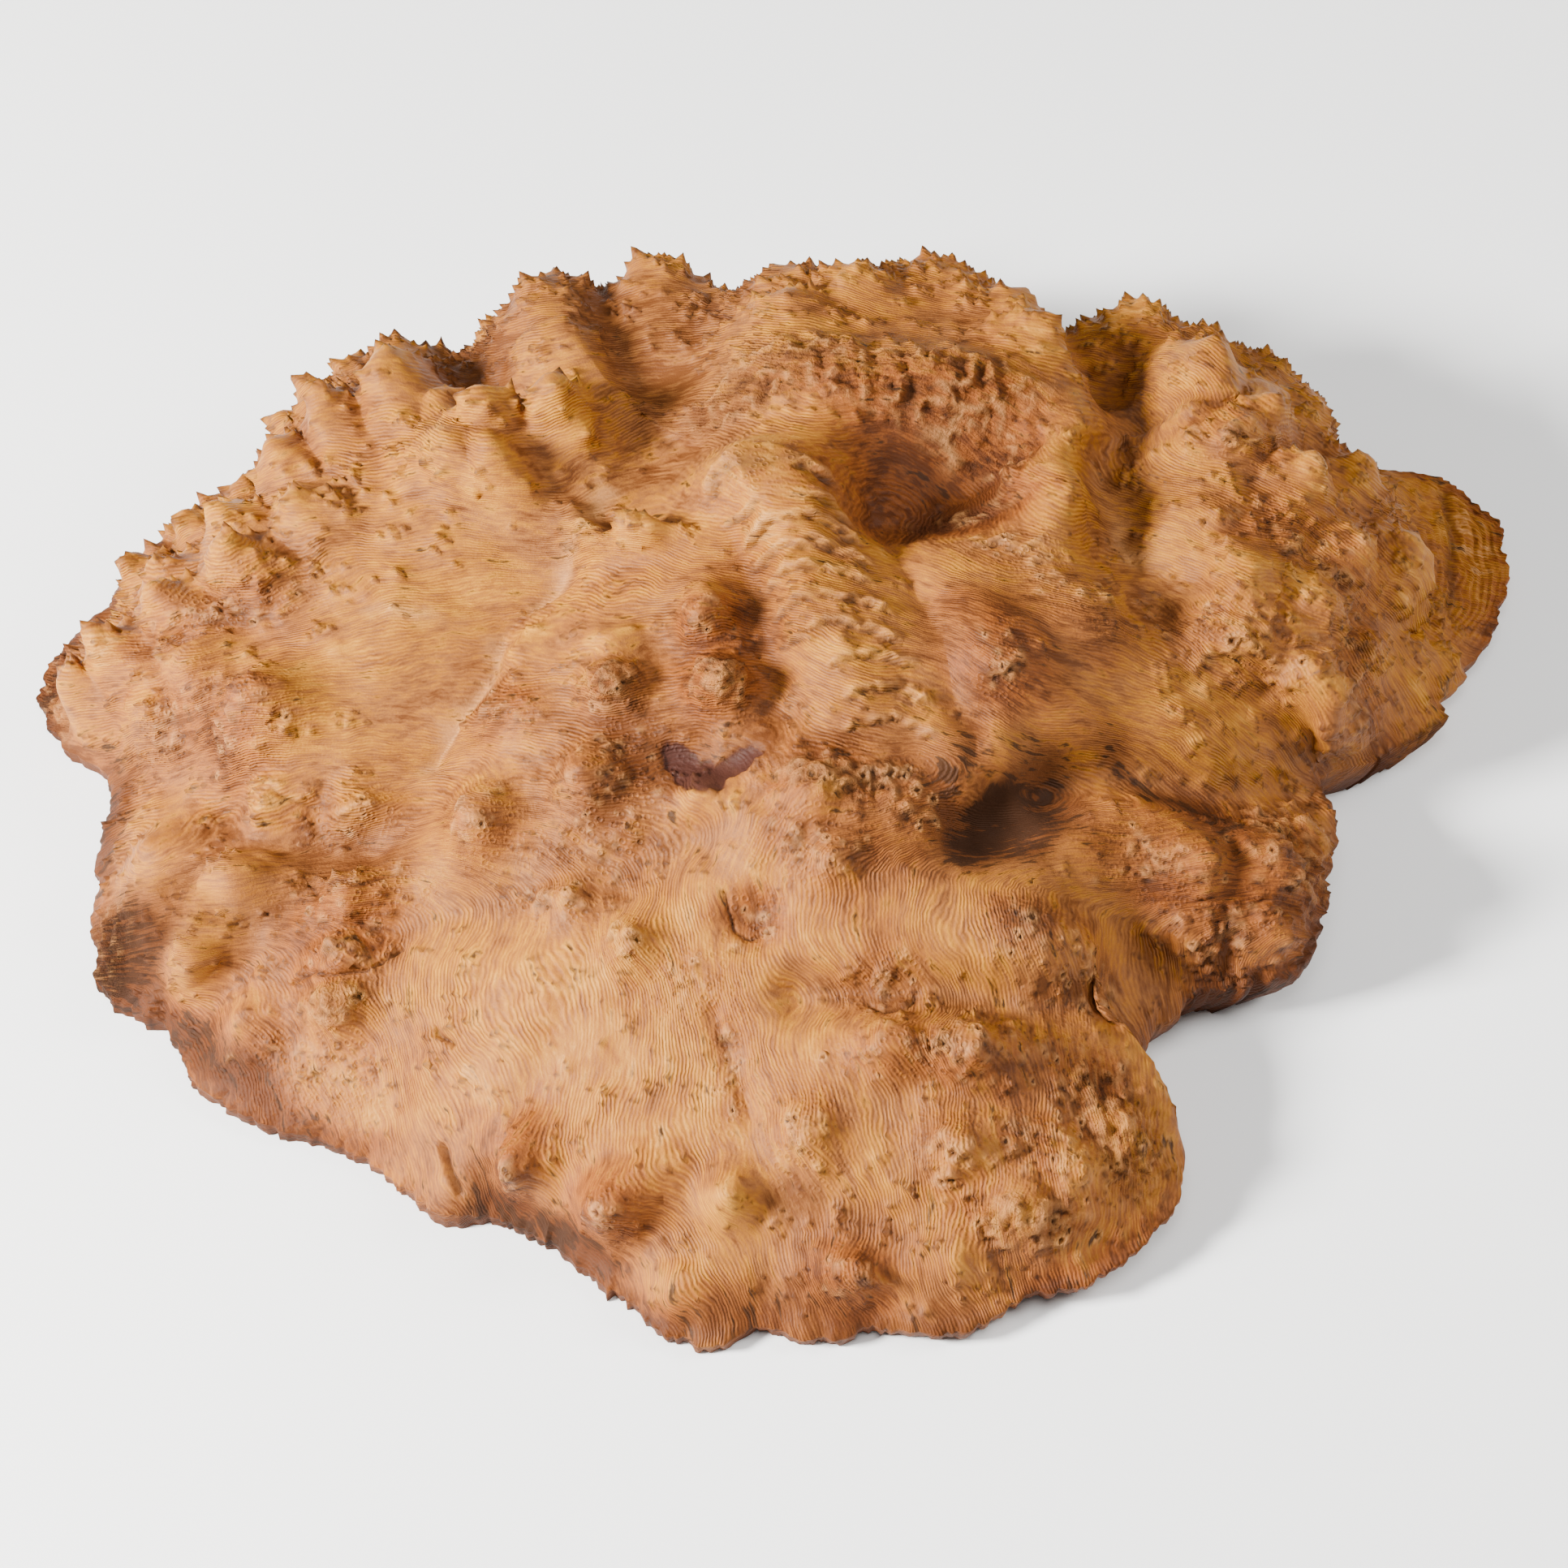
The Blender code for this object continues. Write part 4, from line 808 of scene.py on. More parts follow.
class Lattice:
    """The fine lattice over the skin: places, points of the plain skin and what is added to them."""

    def __init__(self):
        count = CELLS * FINE
        line = np.arange(count + 1) * (2.0 / count) - 1
        self.a, self.b = place(*np.meshgrid(line, line, indexing="ij"))
        self.skin = skin(self.a, self.b)
        coarse = (slice(None, None, NORMAL_STEP),) * 2
        normal = spread(skin_normal(self.a[coarse], self.b[coarse]), NORMAL_STEP)
        self.normal = normal / np.linalg.norm(normal, axis=-1, keepdims=True)
        self.share = dome(self.a, self.b)[1]
        self.edge = smooth((1 - self.share) / EDGE_CALM)
        for name in ("height", "spike", "cut", "tip", "dark", "eyes", "pale"):
            setattr(self, name, np.zeros_like(self.a))
        self.ragged = self.noise(1.3, 27)
        self.across = count // 2 + 1
        self.tree = KDTree(self.across**2)
        for k, (x, y) in enumerate(zip(self.a[::2, ::2].ravel(), self.b[::2, ::2].ravel())):
            self.tree.insert((x, y, 0.0), k)
        self.tree.balance()

    def noise(self, size, seed):
        """Random relief over the skin with features about as wide as size."""
        return value_noise(self.a, self.b, size, seed)

    def corner(self, a, b):
        """The lattice corner nearest to a place on the skin, among every second one."""
        k = self.tree.find((a, b, 0.0))[1]
        return 2 * (k // self.across), 2 * (k % self.across)

    def near(self, i, j, radius):
        """The part of the lattice within reach of one of its corners, and the distances to it."""
        n = int(radius / CLOSEST) + 2
        part = (slice(max(i - n, 0), i + n + 1), slice(max(j - n, 0), j + n + 1))
        return part, np.linalg.norm(self.skin[part] - self.skin[i, j], axis=-1)

    def lift(self, name, values, part=...):
        """Raises a field to the given values where they are higher."""
        field = getattr(self, name)
        field[part] = np.maximum(field[part], values)

    def tent(self, i, j, tall, reach):
        """A knob that the skin hangs from: hollow flanks up to a small blunt top."""
        part, d = self.near(i, j, reach)
        d = np.sqrt(d * d + KNOB_BLUNT)
        self.lift("height", tall * np.clip(KNOB_TOP - d / reach, 0, 1) ** KNOB_HOLLOW, part)

    def hook(self, i, j, tall, reach):
        """A small sharp thorn with a dark tip, and a pit to its right with painted shade in it."""
        part, d = self.near(i, j, reach)
        self.lift("spike", tall * np.clip(1 - d / reach, 0, 1) ** HOOK_HOLLOW, part)
        self.lift("tip", bell(d, HOOK_TIP * reach), part)
        pit = self.corner(self.a[i, j] + PIT_PLACE[0] * reach, self.b[i, j] + PIT_PLACE[1] * reach)
        part, d = self.near(*pit, reach)
        self.cut[part] -= PIT_DEPTH * tall * bell(d, PIT_WIDTH * reach)
        # Painted shade in the pit beside the thorn
        self.lift("dark", PIT_SHADE[0] * bell(d, PIT_SHADE[1] * reach), part)

    def eye(self, i, j, size, rise):
        """A small raised ring with a pale crest and a dark pit in it."""
        part, d = self.near(i, j, 3 * size)
        d = d * (1 + EYE_RAGGED * self.ragged[part])
        ring, pit = bell(d - size, EYE_WIDTHS[0] * size), bell(d, EYE_WIDTHS[1] * size)
        self.cut[part] += rise * ring - EYE_PIT * rise * pit
        self.lift("pale", EYE_TONES[0] * ring, part)
        self.lift("dark", EYE_TONES[1] * pit, part)

    def ledge(self, i, j, half, rise):
        """A short scale lying across the grain: a long fall above, a steep step, and a hollow below with
        painted shade in it.
        """
        part, d = self.near(i, j, 2.4 * half + 2)
        u = (self.a[part] - self.a[i, j]) / half
        v = self.b[part] - self.b[i, j] + STEP_BEND[0] * u * u + STEP_BEND[1] * self.ragged[part]
        run = np.where(v > 0, v / STEP_FALL[0], -v / STEP_FALL[1])
        narrowing, drop, width, depth = STEP_UNDER
        under = np.exp(-narrowing * u * u) * bell(v + drop, width)
        self.cut[part] += rise * bell(u) * bell(run) - depth * rise * under
        # Painted shade in the hollow under the step
        self.lift("dark", STEP_PALE_AND_SHADE[1] * under, part)
        self.lift("pale", STEP_PALE_AND_SHADE[0] * bell(u) * bell(v - STEP_LINE[0], STEP_LINE[1]), part)

    def lump(self, i, j, size, rise):
        """A small round lump with a pale top."""
        part, d = self.near(i, j, 2.5 * size)
        self.cut[part] += rise * bell(d, size)
        self.lift("pale", LUMP_PALE * bell(d, size), part)


def grow_thorns(lattice):
    """A knob where the solid has a thorn, with small sharp thorns on it, and smaller knobs between."""
    rng = np.random.RandomState(SEED + 2)
    for i, j, sx, sy, tall in thorns():
        ci, cj = int(round((i + sx) * FINE)), int(round((j + sy) * FINE))
        lattice.tent(ci, cj, KNOB_SIZE[0] * tall, KNOB_SIZE[1] * tall + KNOB_SIZE[2])
        lattice.hook(ci, cj, HOOK_SIZE[0] * tall, HOOK_SIZE[1] + HOOK_SIZE[2] * tall)
        turn, count = rng.uniform(0, 2 * math.pi), rng.randint(*AROUND_COUNT)
        for k in range(count):
            out = rng.uniform(*AROUND_OUT)
            bearing = turn + (k + rng.uniform(-AROUND_SWAY, AROUND_SWAY)) * 2 * math.pi / max(count, 3)
            a = lattice.a[ci, cj] + out * math.cos(bearing)
            b = lattice.b[ci, cj] + AROUND_FLAT * out * math.sin(bearing)
            one = tall * rng.uniform(*AROUND_TALL)
            lattice.hook(*lattice.corner(a, b), one, AROUND_REACH[0] + AROUND_REACH[1] * tall)
    for i in range(2, 2 * CELLS - 1):
        for j in range(2, 2 * CELLS - 1):
            sx, sy = rng.uniform(-SMALL_SHIFT, SMALL_SHIFT, 2)
            chance, vary, sharp = rng.uniform(0, 1, 3)
            ci, cj = int(round((i + sx) * FINE / 2)), int(round((j + sy) * FINE / 2))
            share, tall = belts(lattice.a[ci, cj], lattice.b[ci, cj])
            if chance >= SMALL_OFTEN * share:
                continue
            small = tall * (SMALL_TALL[0] + SMALL_TALL[1] * vary)
            lattice.tent(ci, cj, SMALL_KNOB[0] * small, SMALL_KNOB[1] * small + SMALL_KNOB[2])
            if sharp < SMALL_SHARP:
                one = tall * (SMALL_HOOK[0] + SMALL_HOOK[1] * sharp)
                lattice.hook(ci, cj, one, SMALL_HOOK[2] + SMALL_HOOK[3] * tall)


def set_eyes(lattice):
    """Eyes, ledges and small lumps in their groups, and ledges in rows across the rib."""
    rng = np.random.RandomState(SEED + 3)
    for x, y, along, across, turn, count, size in EYE_GROUPS:
        c, s = math.cos(math.radians(turn)), math.sin(math.radians(turn))
        for _ in range(int(EYE_MORE * count)):
            u, v = rng.normal(0, GROUP_SPREAD, 2) * (along, across)
            i, j = lattice.corner(x + u * c - v * s, y + u * s + v * c)
            one = size * rng.uniform(*GROUP_SIZES)
            kind = rng.uniform()
            if kind < EYE_KINDS[0]:
                lattice.eye(i, j, EYE_SIZE[0] * one, EYE_SIZE[1] * one)
            elif kind < EYE_KINDS[1]:
                lattice.ledge(i, j, LEDGE_SIZE[0] * one, LEDGE_SIZE[1] * one)
            else:
                lattice.lump(i, j, one, LUMP_RISE * one)
        wide, deep = (GROUP_ROOM[0] * half + GROUP_ROOM[1] for half in (along, across))
        lattice.lift("eyes", patch(lattice.a, lattice.b, x, y, wide, deep, turn))
    for y, left, right, count in RIB_ROWS:
        for k in range(count):
            x = left + (right - left) * (k + 0.5) / count + rng.uniform(-RIB_SHIFT, RIB_SHIFT)
            sag = RIB_SAG * (2 * (k + 0.5) / count - 1) ** 2
            i, j = lattice.corner(x, y - sag + rng.uniform(-RIB_SHIFT, RIB_SHIFT))
            lattice.ledge(i, j, rng.uniform(*RIB_HALF), rng.uniform(*RIB_TALL))


def crust_and_cracks(lattice):
    """Crusted patches, cracks with painted shade in them, pale lines of painted sheen, the inclusion and the
    soft unevenness all over.
    """
    a, b = lattice.a, lattice.b
    lattice.cut += 0.55 * lattice.noise(15, 4) + 0.28 * lattice.noise(6, 5)
    lattice.cut += 0.12 * lattice.noise(2.6, 6)
    crust = np.zeros_like(a)
    for _, *spot, rough in CRUSTS:
        crust = np.maximum(crust, rough * patch(a, b, *spot))
    flecks = np.abs(lattice.noise(3.4, 7)) + 0.5 * np.abs(lattice.noise(1.7, 8))
    lattice.cut += crust * (CRUST_RISE[0] - CRUST_RISE[1] * flecks)
    much, start, width = CRUST_DARK
    lattice.lift("dark", much * crust * smooth((flecks - start) / width))
    lattice.crust = np.clip(crust, 0, 1)
    much, start, width = CRUST_PALE
    lattice.lift("pale", much * smooth(crust) * smooth((start - flecks) / width))
    a, b = a + LINE_SWAY * lattice.noise(7, 9), b + LINE_SWAY * lattice.noise(7, 10)
    for _, line, width, depth in CRACKS:
        d = line_distance(a, b, line) / width
        lattice.cut -= depth * bell(d)
        # Painted shade along each crack
        lattice.lift("dark", CRACK_SHADE[0] * np.exp(-CRACK_SHADE[1] * d * d))
    # Painted sheen along the valley creases, shown in broken stretches
    shown = smooth(0.6 + lattice.noise(9, 32))
    for line, width in SHEEN_LINES:
        lattice.lift("pale", SHEEN_PALENESS * bell(line_distance(a, b, line), width) * shown)
    wavy = 0.16 * lattice.noise(3.0, 11) + 0.10 * lattice.noise(1.5, 28)
    parts = [patch(a, b, *row) for row in INCLUSION]
    lattice.inclusion = smooth((np.max(parts, 0) + wavy - INCLUSION_EDGE[0]) / INCLUSION_EDGE[1])
    lattice.cut -= INCLUSION_DEPTH * lattice.inclusion


def lobe_teeth(lattice):
    """A row of small sharp teeth where the right lobe falls to the flange."""
    rng = np.random.RandomState(SEED + 31)
    spacing, tall = LOBE_TEETH
    x, y = lattice.skin[..., 0], lattice.skin[..., 1]
    for start, end in zip(LOBE_EDGE, LOBE_EDGE[1:]):
        for share in np.arange(0, 1, spacing / math.dist(start, end)):
            px = start[0] + share * (end[0] - start[0]) + rng.uniform(-LOBE_SHIFT[0], LOBE_SHIFT[0])
            py = start[1] + share * (end[1] - start[1]) + rng.uniform(-LOBE_SHIFT[1], LOBE_SHIFT[1])
            i, j = np.unravel_index(np.argmin(np.hypot(x - px, y - py)), x.shape)
            one = tall * rng.uniform(*LOBE_VARY)
            lattice.tent(i, j, one, LOBE_KNOB[0] * one + LOBE_KNOB[1])
            lattice.hook(i, j, LOBE_HOOK[0] * one, LOBE_HOOK[1])


def bring_out(lattice):
    """Knobs a little taller and the hollows between them a little deeper, but for the back edge."""
    form = relief(lattice.a, lattice.b) * lattice.edge
    calm = 1 - smooth((lattice.b - BACK_CALM[0]) / BACK_CALM[1])
    lattice.cut += BRING_OUT * (form - blurred(form, BRING_CELLS)) * calm


def frayed_flange(lattice):
    """The fibrous ledge on the right: ridges along its edge and a dark upright groove."""
    x, y = lattice.skin[..., 0], lattice.skin[..., 1]
    sector = smooth((y - FLANGE_NEAR[0]) / FLANGE_NEAR[1]) * smooth((FLANGE_FAR[0] - y) / FLANGE_FAR[1])
    out = smooth((x - FLANGE_START[0]) / FLANGE_START[1]) * sector
    along = (1 - lattice.share) * 190 + 1.6 * value_noise(x, y, 8, 12)
    wide, fine = (np.sin(2 * np.pi * along / spacing) for spacing in RIDGE_SPACING)
    ridges = wide + RIDGE_FINE * fine
    lattice.cut += out * (RIDGE_TALL * ridges + RIDGE_UNEVEN * value_noise(2.5 * x, 0.5 * y, 4, 13))
    d = line_distance(x + 1.5 * value_noise(x, y, 9, 14), y, FLANGE_GROOVE)
    lattice.cut -= GROOVE_DEPTH[0] * bell(d, GROOVE_DEPTH[1])
    lattice.lift("dark", GROOVE_DARK[0] * bell(d, GROOVE_DARK[1]) * sector)


def fine_points(lattice):
    """Points of the skin with all its fine relief, kept inside the solid's box."""
    height = lattice.height + lattice.spike + lattice.cut * (0.25 + 0.75 * lattice.edge)
    points = lattice.skin + lattice.normal * height[..., None]
    points[..., 0] -= HOOK_LEAN * lattice.spike
    bearing = np.arctan2(lattice.b - CROWN[1], lattice.a - CROWN[0])
    frayed = np.random.RandomState(SEED + 15).uniform(-FRAY, 0.4 * FRAY, 4 * RIM_TEETH)
    tooth = circle_table(rim_teeth(), bearing) * lattice.share**TOOTH_DEPTH
    tooth = tooth + circle_table(frayed, bearing) * lattice.share**FRAY_DEPTH
    points[..., 0] += np.cos(bearing) * tooth
    points[..., 1] += np.sin(bearing) * tooth
    low, high = (np.array(corner) / MM for corner in CAD_BOX)
    return np.clip(points, (low[0], low[1], LOWEST_SKIN), high)


def colour_fields(lattice):
    """Grain, tones and marks of the wood at every lattice corner, with painted shade in hollows and painted
    highlight on broad rises.
    """
    a, b, noise = lattice.a, lattice.b, lattice.noise
    ragged = 2.0 * noise(6, 18)
    x, y = a + 5.0 * noise(24, 16) + ragged, b + 5.0 * noise(24, 17) - ragged
    light = 0.18 * noise(46, 19) + 0.30 * value_noise(x, 1.6 * y, 15, 20)
    light = light + 0.16 * value_noise(x, 1.5 * y, 6.5, 26)
    warm = 0.2 + 0.22 * noise(33, 21) + 0.2 * noise(10, 22)
    stain = np.zeros_like(a)
    for *spot, more_light, more_warm, more_stain in TONES:
        weight = patch(x, y, *spot)
        light = light + weight * more_light
        warm = warm + weight * more_warm
        stain = np.maximum(stain, weight * more_stain)
    knots = np.clip(lattice.eyes + 0.4 * noise(5, 30), 0, 1)
    light, warm = light - KNOT_TONE[0] * knots, warm + KNOT_TONE[1] * knots
    rim = smooth((lattice.share - RIM_BAND[0]) / RIM_BAND[1]) * (0.55 + 0.45 * noise(16, 29))
    light, warm = light - RIM_TONES[0] * rim, warm + RIM_TONES[1] * rim
    stain = np.maximum(stain, RIM_TONES[2] * rim)
    height = relief(a, b) + lattice.height + 0.5 * lattice.spike + 0.6 * lattice.cut
    # Painted shade: how far each corner lies below its evened-out surroundings, over small and broad spans
    hollow, deep = (
        np.clip((blurred(height, cells) - height) / full, -1, 1)
        for cells, full in (SMALL_HOLLOW_SHADE, BROAD_HOLLOW_SHADE)
    )
    painted_shade, painted_highlight = BROAD_SHADE_AND_HIGHLIGHT
    sweep = 8 * noise(40, 23) + 2.6 * noise(15, 24) + 1.0 * noise(7, 33)
    sweep = sweep + GRAIN_TURN * smooth((b + 62) / 34) * (0.7 * b - 0.75 * a)
    return {
        # Painted shade in broad hollows and painted highlight on broad rises
        "light": light - painted_shade * np.clip(deep, 0, 1) + painted_highlight * np.clip(-deep, 0, 1),
        "warm": warm,
        "stain": stain,
        "dark": np.clip(lattice.dark, 0, 1),
        # Painted shade in small hollows, darkened in the material
        "tip": lattice.tip,
        "hollow": hollow,
        "eyes": lattice.eyes,
        "pale": lattice.pale,
        "crust": lattice.crust,
        "inclusion": lattice.inclusion,
        "grain": (a + 0.3 * b + sweep) / GRAIN_ACROSS + height / GRAIN_UP,
    }


def fine_sheet(points):
    """The skin as an open mesh, with most triangles where the relief is finest."""
    count = points.shape[0]
    index = np.arange(count * count).reshape(count, count)
    quads = np.stack([index[:-1, :-1], index[1:, :-1], index[1:, 1:], index[:-1, 1:]], -1).reshape(-1, 4)
    mesh = bpy.data.meshes.new("sheet")
    mesh.from_pydata((points.reshape(-1, 3) * MM).tolist(), [], quads.tolist())
    sheet = bpy.data.objects.new("sheet", mesh)
    bpy.context.scene.collection.objects.link(sheet)
    thin = sheet.modifiers.new("thin", "DECIMATE")
    thin.ratio = TRIANGLES / (2.0 * len(quads))
    thin.use_collapse_triangulate = True
    graph = bpy.context.evaluated_depsgraph_get()
    made = bpy.data.meshes.new_from_object(sheet.evaluated_get(graph))
    bpy.data.objects.remove(sheet)
    return made


def lattice_places(mesh, points):
    """Where each vertex of the thinned sheet lies on the lattice, in cells."""
    count = points.shape[0]
    tree = KDTree(count * count)
    for k, point in enumerate((points.reshape(-1, 3) * MM).tolist()):
        tree.insert(point, k)
    tree.balance()
    nearest = np.array([tree.find(vertex.co)[1] for vertex in mesh.vertices])
    i, j = nearest // count, nearest % count
    where = np.zeros(len(mesh.vertices) * 3)
    mesh.vertices.foreach_get("co", where)
    gap = where.reshape(-1, 3) / MM - points[i, j]
    along_i = np.gradient(points, axis=0)[i, j]
    along_j = np.gradient(points, axis=1)[i, j]
    ii, ij, jj = ((p * q).sum(-1) for p, q in ((along_i, along_i), (along_i, along_j), (along_j, along_j)))
    gi, gj = (gap * along_i).sum(-1), (gap * along_j).sum(-1)
    det = np.maximum(ii * jj - ij * ij, 0.02 * ii * jj + 1e-9)
    di = np.clip((gi * jj - gj * ij) / det, -1, 1)
    dj = np.clip((gj * ii - gi * ij) / det, -1, 1)
    return np.clip(i + di, 0, count - 1), np.clip(j + dj, 0, count - 1)


def read_lattice(field, i, j):
    """A lattice field read between its corners."""
    low_i = np.minimum(i.astype(int), field.shape[0] - 2)
    low_j = np.minimum(j.astype(int), field.shape[1] - 2)
    u, v = i - low_i, j - low_j
    first = field[low_i, low_j] * (1 - v) + field[low_i, low_j + 1] * v
    second = field[low_i + 1, low_j] * (1 - v) + field[low_i + 1, low_j + 1] * v
    return first * (1 - u) + second * u


def close_cap(mesh, places, names):
    """Carries the rim down and under to the sawn face and closes it with a flat fill."""
    body = bmesh.new()
    body.from_mesh(mesh)
    layers = {name: body.verts.layers.float[name] for name in names}
    sheet_uv = body.verts.layers.float_vector.new("sheet_uv")
    count = CELLS * FINE
    body.verts.ensure_lookup_table()
    for vertex, i, j in zip(body.verts, *places):
        vertex[sheet_uv] = (2 * i / count - 1, 2 * j / count - 1, 0)
    rng = np.random.RandomState(SEED + 25)
    ragged = [rng.uniform(-1, 1, 5 * RIM_TEETH) for _ in RIM_DROPS]
    ring = [edge for edge in body.edges if edge.is_boundary]
    drop_before, tuck_before = 0.0, 0.0
    for step, (drop, tuck) in enumerate(RIM_DROPS):
        made = bmesh.ops.extrude_edge_only(body, edges=ring)["geom"]
        verts = [g for g in made if isinstance(g, bmesh.types.BMVert)]
        ring = [g for g in made if isinstance(g, bmesh.types.BMEdge) and g.is_boundary]
        for vertex in verts:
            dx, dy = vertex.co.x / MM - CROWN[0], vertex.co.y / MM - CROWN[1]
            bearing = np.arctan2(dy, dx)
            under = LEAST_UNDERCUT + around(bearing, RIM_SIZES[:, 1])
            reach = np.hypot(dx, dy) - (tuck - tuck_before) * under
            if step < len(RIM_DROPS) - 1:
                reach += RIM_ROUGH * circle_table(ragged[step], bearing)
            vertex.co.x = (CROWN[0] + reach * np.cos(bearing)) * MM
            vertex.co.y = (CROWN[1] + reach * np.sin(bearing)) * MM
            vertex.co.xy = np.clip(vertex.co.xy, CAD_BOX[0][:2], CAD_BOX[1][:2])
            vertex.co.z = vertex.co.z * (1 - drop) / (1 - drop_before)
            # Painted shade on the edge below the rim
            vertex[layers["hollow"]] = RIM_HOLLOW_SHADE
            vertex[layers["tip"]] = 0.0
            for name, shift in RIM_SHIFTS.items():
                vertex[layers[name]] += shift
            out = vertex[sheet_uv]
            length = max(abs(out.x), abs(out.y))
            vertex[sheet_uv] = out * ((length + RIM_UV) / length)
        drop_before, tuck_before = drop, tuck
    base = bmesh.ops.edgeloop_fill(body, edges=ring)["faces"]
    for edge in ring:
        edge.smooth = False
    flat = set(bmesh.ops.triangulate(body, faces=base)["faces"])
    uv = body.loops.layers.uv.new("OFBake")
    low, high = CAD_BOX
    span = high[0] - low[0]
    for face in body.faces:
        face.smooth = True
        face.material_index = 1 if face in flat else 0
        for loop in face.loops:
            if face in flat:
                spot = [SAWN_UV[0][k] + SAWN_UV[1] * (loop.vert.co[k] - low[k]) / span for k in (0, 1)]
            else:
                spot = [SKIN_UV[0][k] + SKIN_UV[1][k] * loop.vert[sheet_uv][k] for k in (0, 1)]
            loop[uv].uv = spot
    bmesh.ops.recalc_face_normals(body, faces=body.faces[:])
    body.to_mesh(mesh)
    body.free()


def burl_cap():
    """The dressed cap: one closed piece with its relief and colour fields."""
    lattice = Lattice()
    grow_thorns(lattice)
    set_eyes(lattice)
    lobe_teeth(lattice)
    bring_out(lattice)
    crust_and_cracks(lattice)
    frayed_flange(lattice)
    points = fine_points(lattice)
    fields = colour_fields(lattice)
    mesh = fine_sheet(points)
    places = lattice_places(mesh, points)
    for name, field in fields.items():
        values = read_lattice(field, *places)
        layer = mesh.attributes.new(name, "FLOAT", "POINT")
        layer.data.foreach_set("value", values.astype(np.float32))
    close_cap(mesh, places, list(fields))
    mesh.name = "burl_cap_look"
    mesh.materials.append(burl_material())
    mesh.materials.append(sawn_material())
    piece = bpy.data.objects.new("burl_cap_look", mesh)
    bpy.context.scene.collection.objects.link(piece)
    return piece


class Wood:
    """Short calls for the nodes of a material."""

    def __init__(self, name):
        self.material = bpy.data.materials.new(name)
        self.material.use_nodes = True
        self.nodes = self.material.node_tree.nodes
        self.links = self.material.node_tree.links
        self.shader = self.nodes["Principled BSDF"]

    def join(self, source, target):
        """Links a socket to the target, or sets the target to a plain value."""
        if isinstance(source, (int, float, tuple)):
            target.default_value = source
        else:
            self.links.new(source, target)

    def node(self, kind, **values):
        """A new node with plain values in its named inputs."""
        made = self.nodes.new(kind)
        for name, value in values.items():
            made.inputs[name.replace("_", " ")].default_value = value
        return made

    def places(self):
        """Places on the piece, in metres."""
        return self.nodes.new("ShaderNodeTexCoord").outputs["Object"]

    def field(self, name):
        """One of the fields kept on the mesh."""
        node = self.nodes.new("ShaderNodeAttribute")
        node.attribute_name = name
        return node.outputs["Fac"]

    def math(self, kind, first, second=0.0, third=0.0, clamp=False):
        """A sum, product or the like."""
        node = self.nodes.new("ShaderNodeMath")
        node.operation = kind
        node.use_clamp = clamp
        for socket, value in zip(node.inputs, (first, second, third)):
            self.join(value, socket)
        return node.outputs[0]

    def times(self, first, second, more=0.0, clamp=False):
        """The first times the second, plus some more."""
        return self.math("MULTIPLY_ADD", first, second, more, clamp)

    def noise(self, scale, detail=3.0, roughness=0.6):
        """Even noise, its fineness in features per metre."""
        node = self.node("ShaderNodeTexNoise", Scale=scale, Detail=detail, Roughness=roughness)
        self.links.new(self.places(), node.inputs["Vector"])
        return node.outputs["Fac"]

    def streaks(self, phase, across, along):
        """Noise drawn out along the growth lines: its fineness in lines and in lengths per metre."""
        parts = self.nodes.new("ShaderNodeSeparateXYZ")
        whole = self.nodes.new("ShaderNodeCombineXYZ")
        self.links.new(self.places(), parts.inputs[0])
        sources = ((phase, across), (parts.outputs[0], along), (parts.outputs[1], along))
        for socket, (source, fineness) in zip(whole.inputs, sources):
            self.join(self.times(source, fineness), socket)
        node = self.node("ShaderNodeTexNoise", Scale=1.0, Detail=3.0, Roughness=0.6)
        self.links.new(whole.outputs[0], node.inputs["Vector"])
        return node.outputs["Fac"]

    def cells(self, scale):
        """Distance to the middle of the nearest of many scattered cells."""
        node = self.node("ShaderNodeTexVoronoi", Scale=scale)
        self.links.new(self.places(), node.inputs["Vector"])
        return node.outputs["Distance"]

    def ramp(self, fac, *stops):
        """Colours or greys that follow one another as a value rises."""
        node = self.nodes.new("ShaderNodeValToRGB")
        ramp = node.color_ramp
        while len(ramp.elements) < len(stops):
            ramp.elements.new(0.5)
        for element, (position, colour) in zip(ramp.elements, stops):
            element.position = position
            element.color = colour if isinstance(colour, tuple) else (colour, colour, colour, 1)
        self.join(fac, node.inputs["Fac"])
        return node.outputs["Color"]

    def mix(self, fac, first, second, kind="MIX"):
        """The first colour with some of the second over it."""
        node = self.nodes.new("ShaderNodeMix")
        node.data_type = "RGBA"
        node.blend_type = kind
        for place_in, source in ((0, fac), (6, first), (7, second)):
            self.join(source, node.inputs[place_in])
        return node.outputs[2]

    def bump(self, height, distance, strength=1.0, under=None):
        """Fine relief over what lies under it."""
        node = self.node("ShaderNodeBump", Distance=distance, Strength=strength)
        self.join(height, node.inputs["Height"])
        if under is not None:
            self.links.new(under, node.inputs["Normal"])
        return node.outputs["Normal"]


# Colours of the wood, linear
CREAM = (0.470, 0.198, 0.015, 1)
HONEY = (0.310, 0.114, 0.015, 1)
TAN = (0.226, 0.082, 0.021, 1)
CHESTNUT = (0.122, 0.038, 0.009, 1)
RUST = (0.216, 0.061, 0.011, 1)
DEEP_RUST = (0.077, 0.021, 0.005, 1)
BARK = (0.036, 0.016, 0.009, 1)
STAIN = (0.030, 0.011, 0.004, 1)
# Dark marks of the wood, and painted shade in thorn pits, cracks and under ledges
PITCH_AND_SHADE = (0.016, 0.008, 0.005, 1)
PURPLE = (0.042, 0.014, 0.010, 1)
PINK_CREAM = (0.480, 0.222, 0.075, 1)
TIP_BROWN = (0.054, 0.018, 0.007, 1)

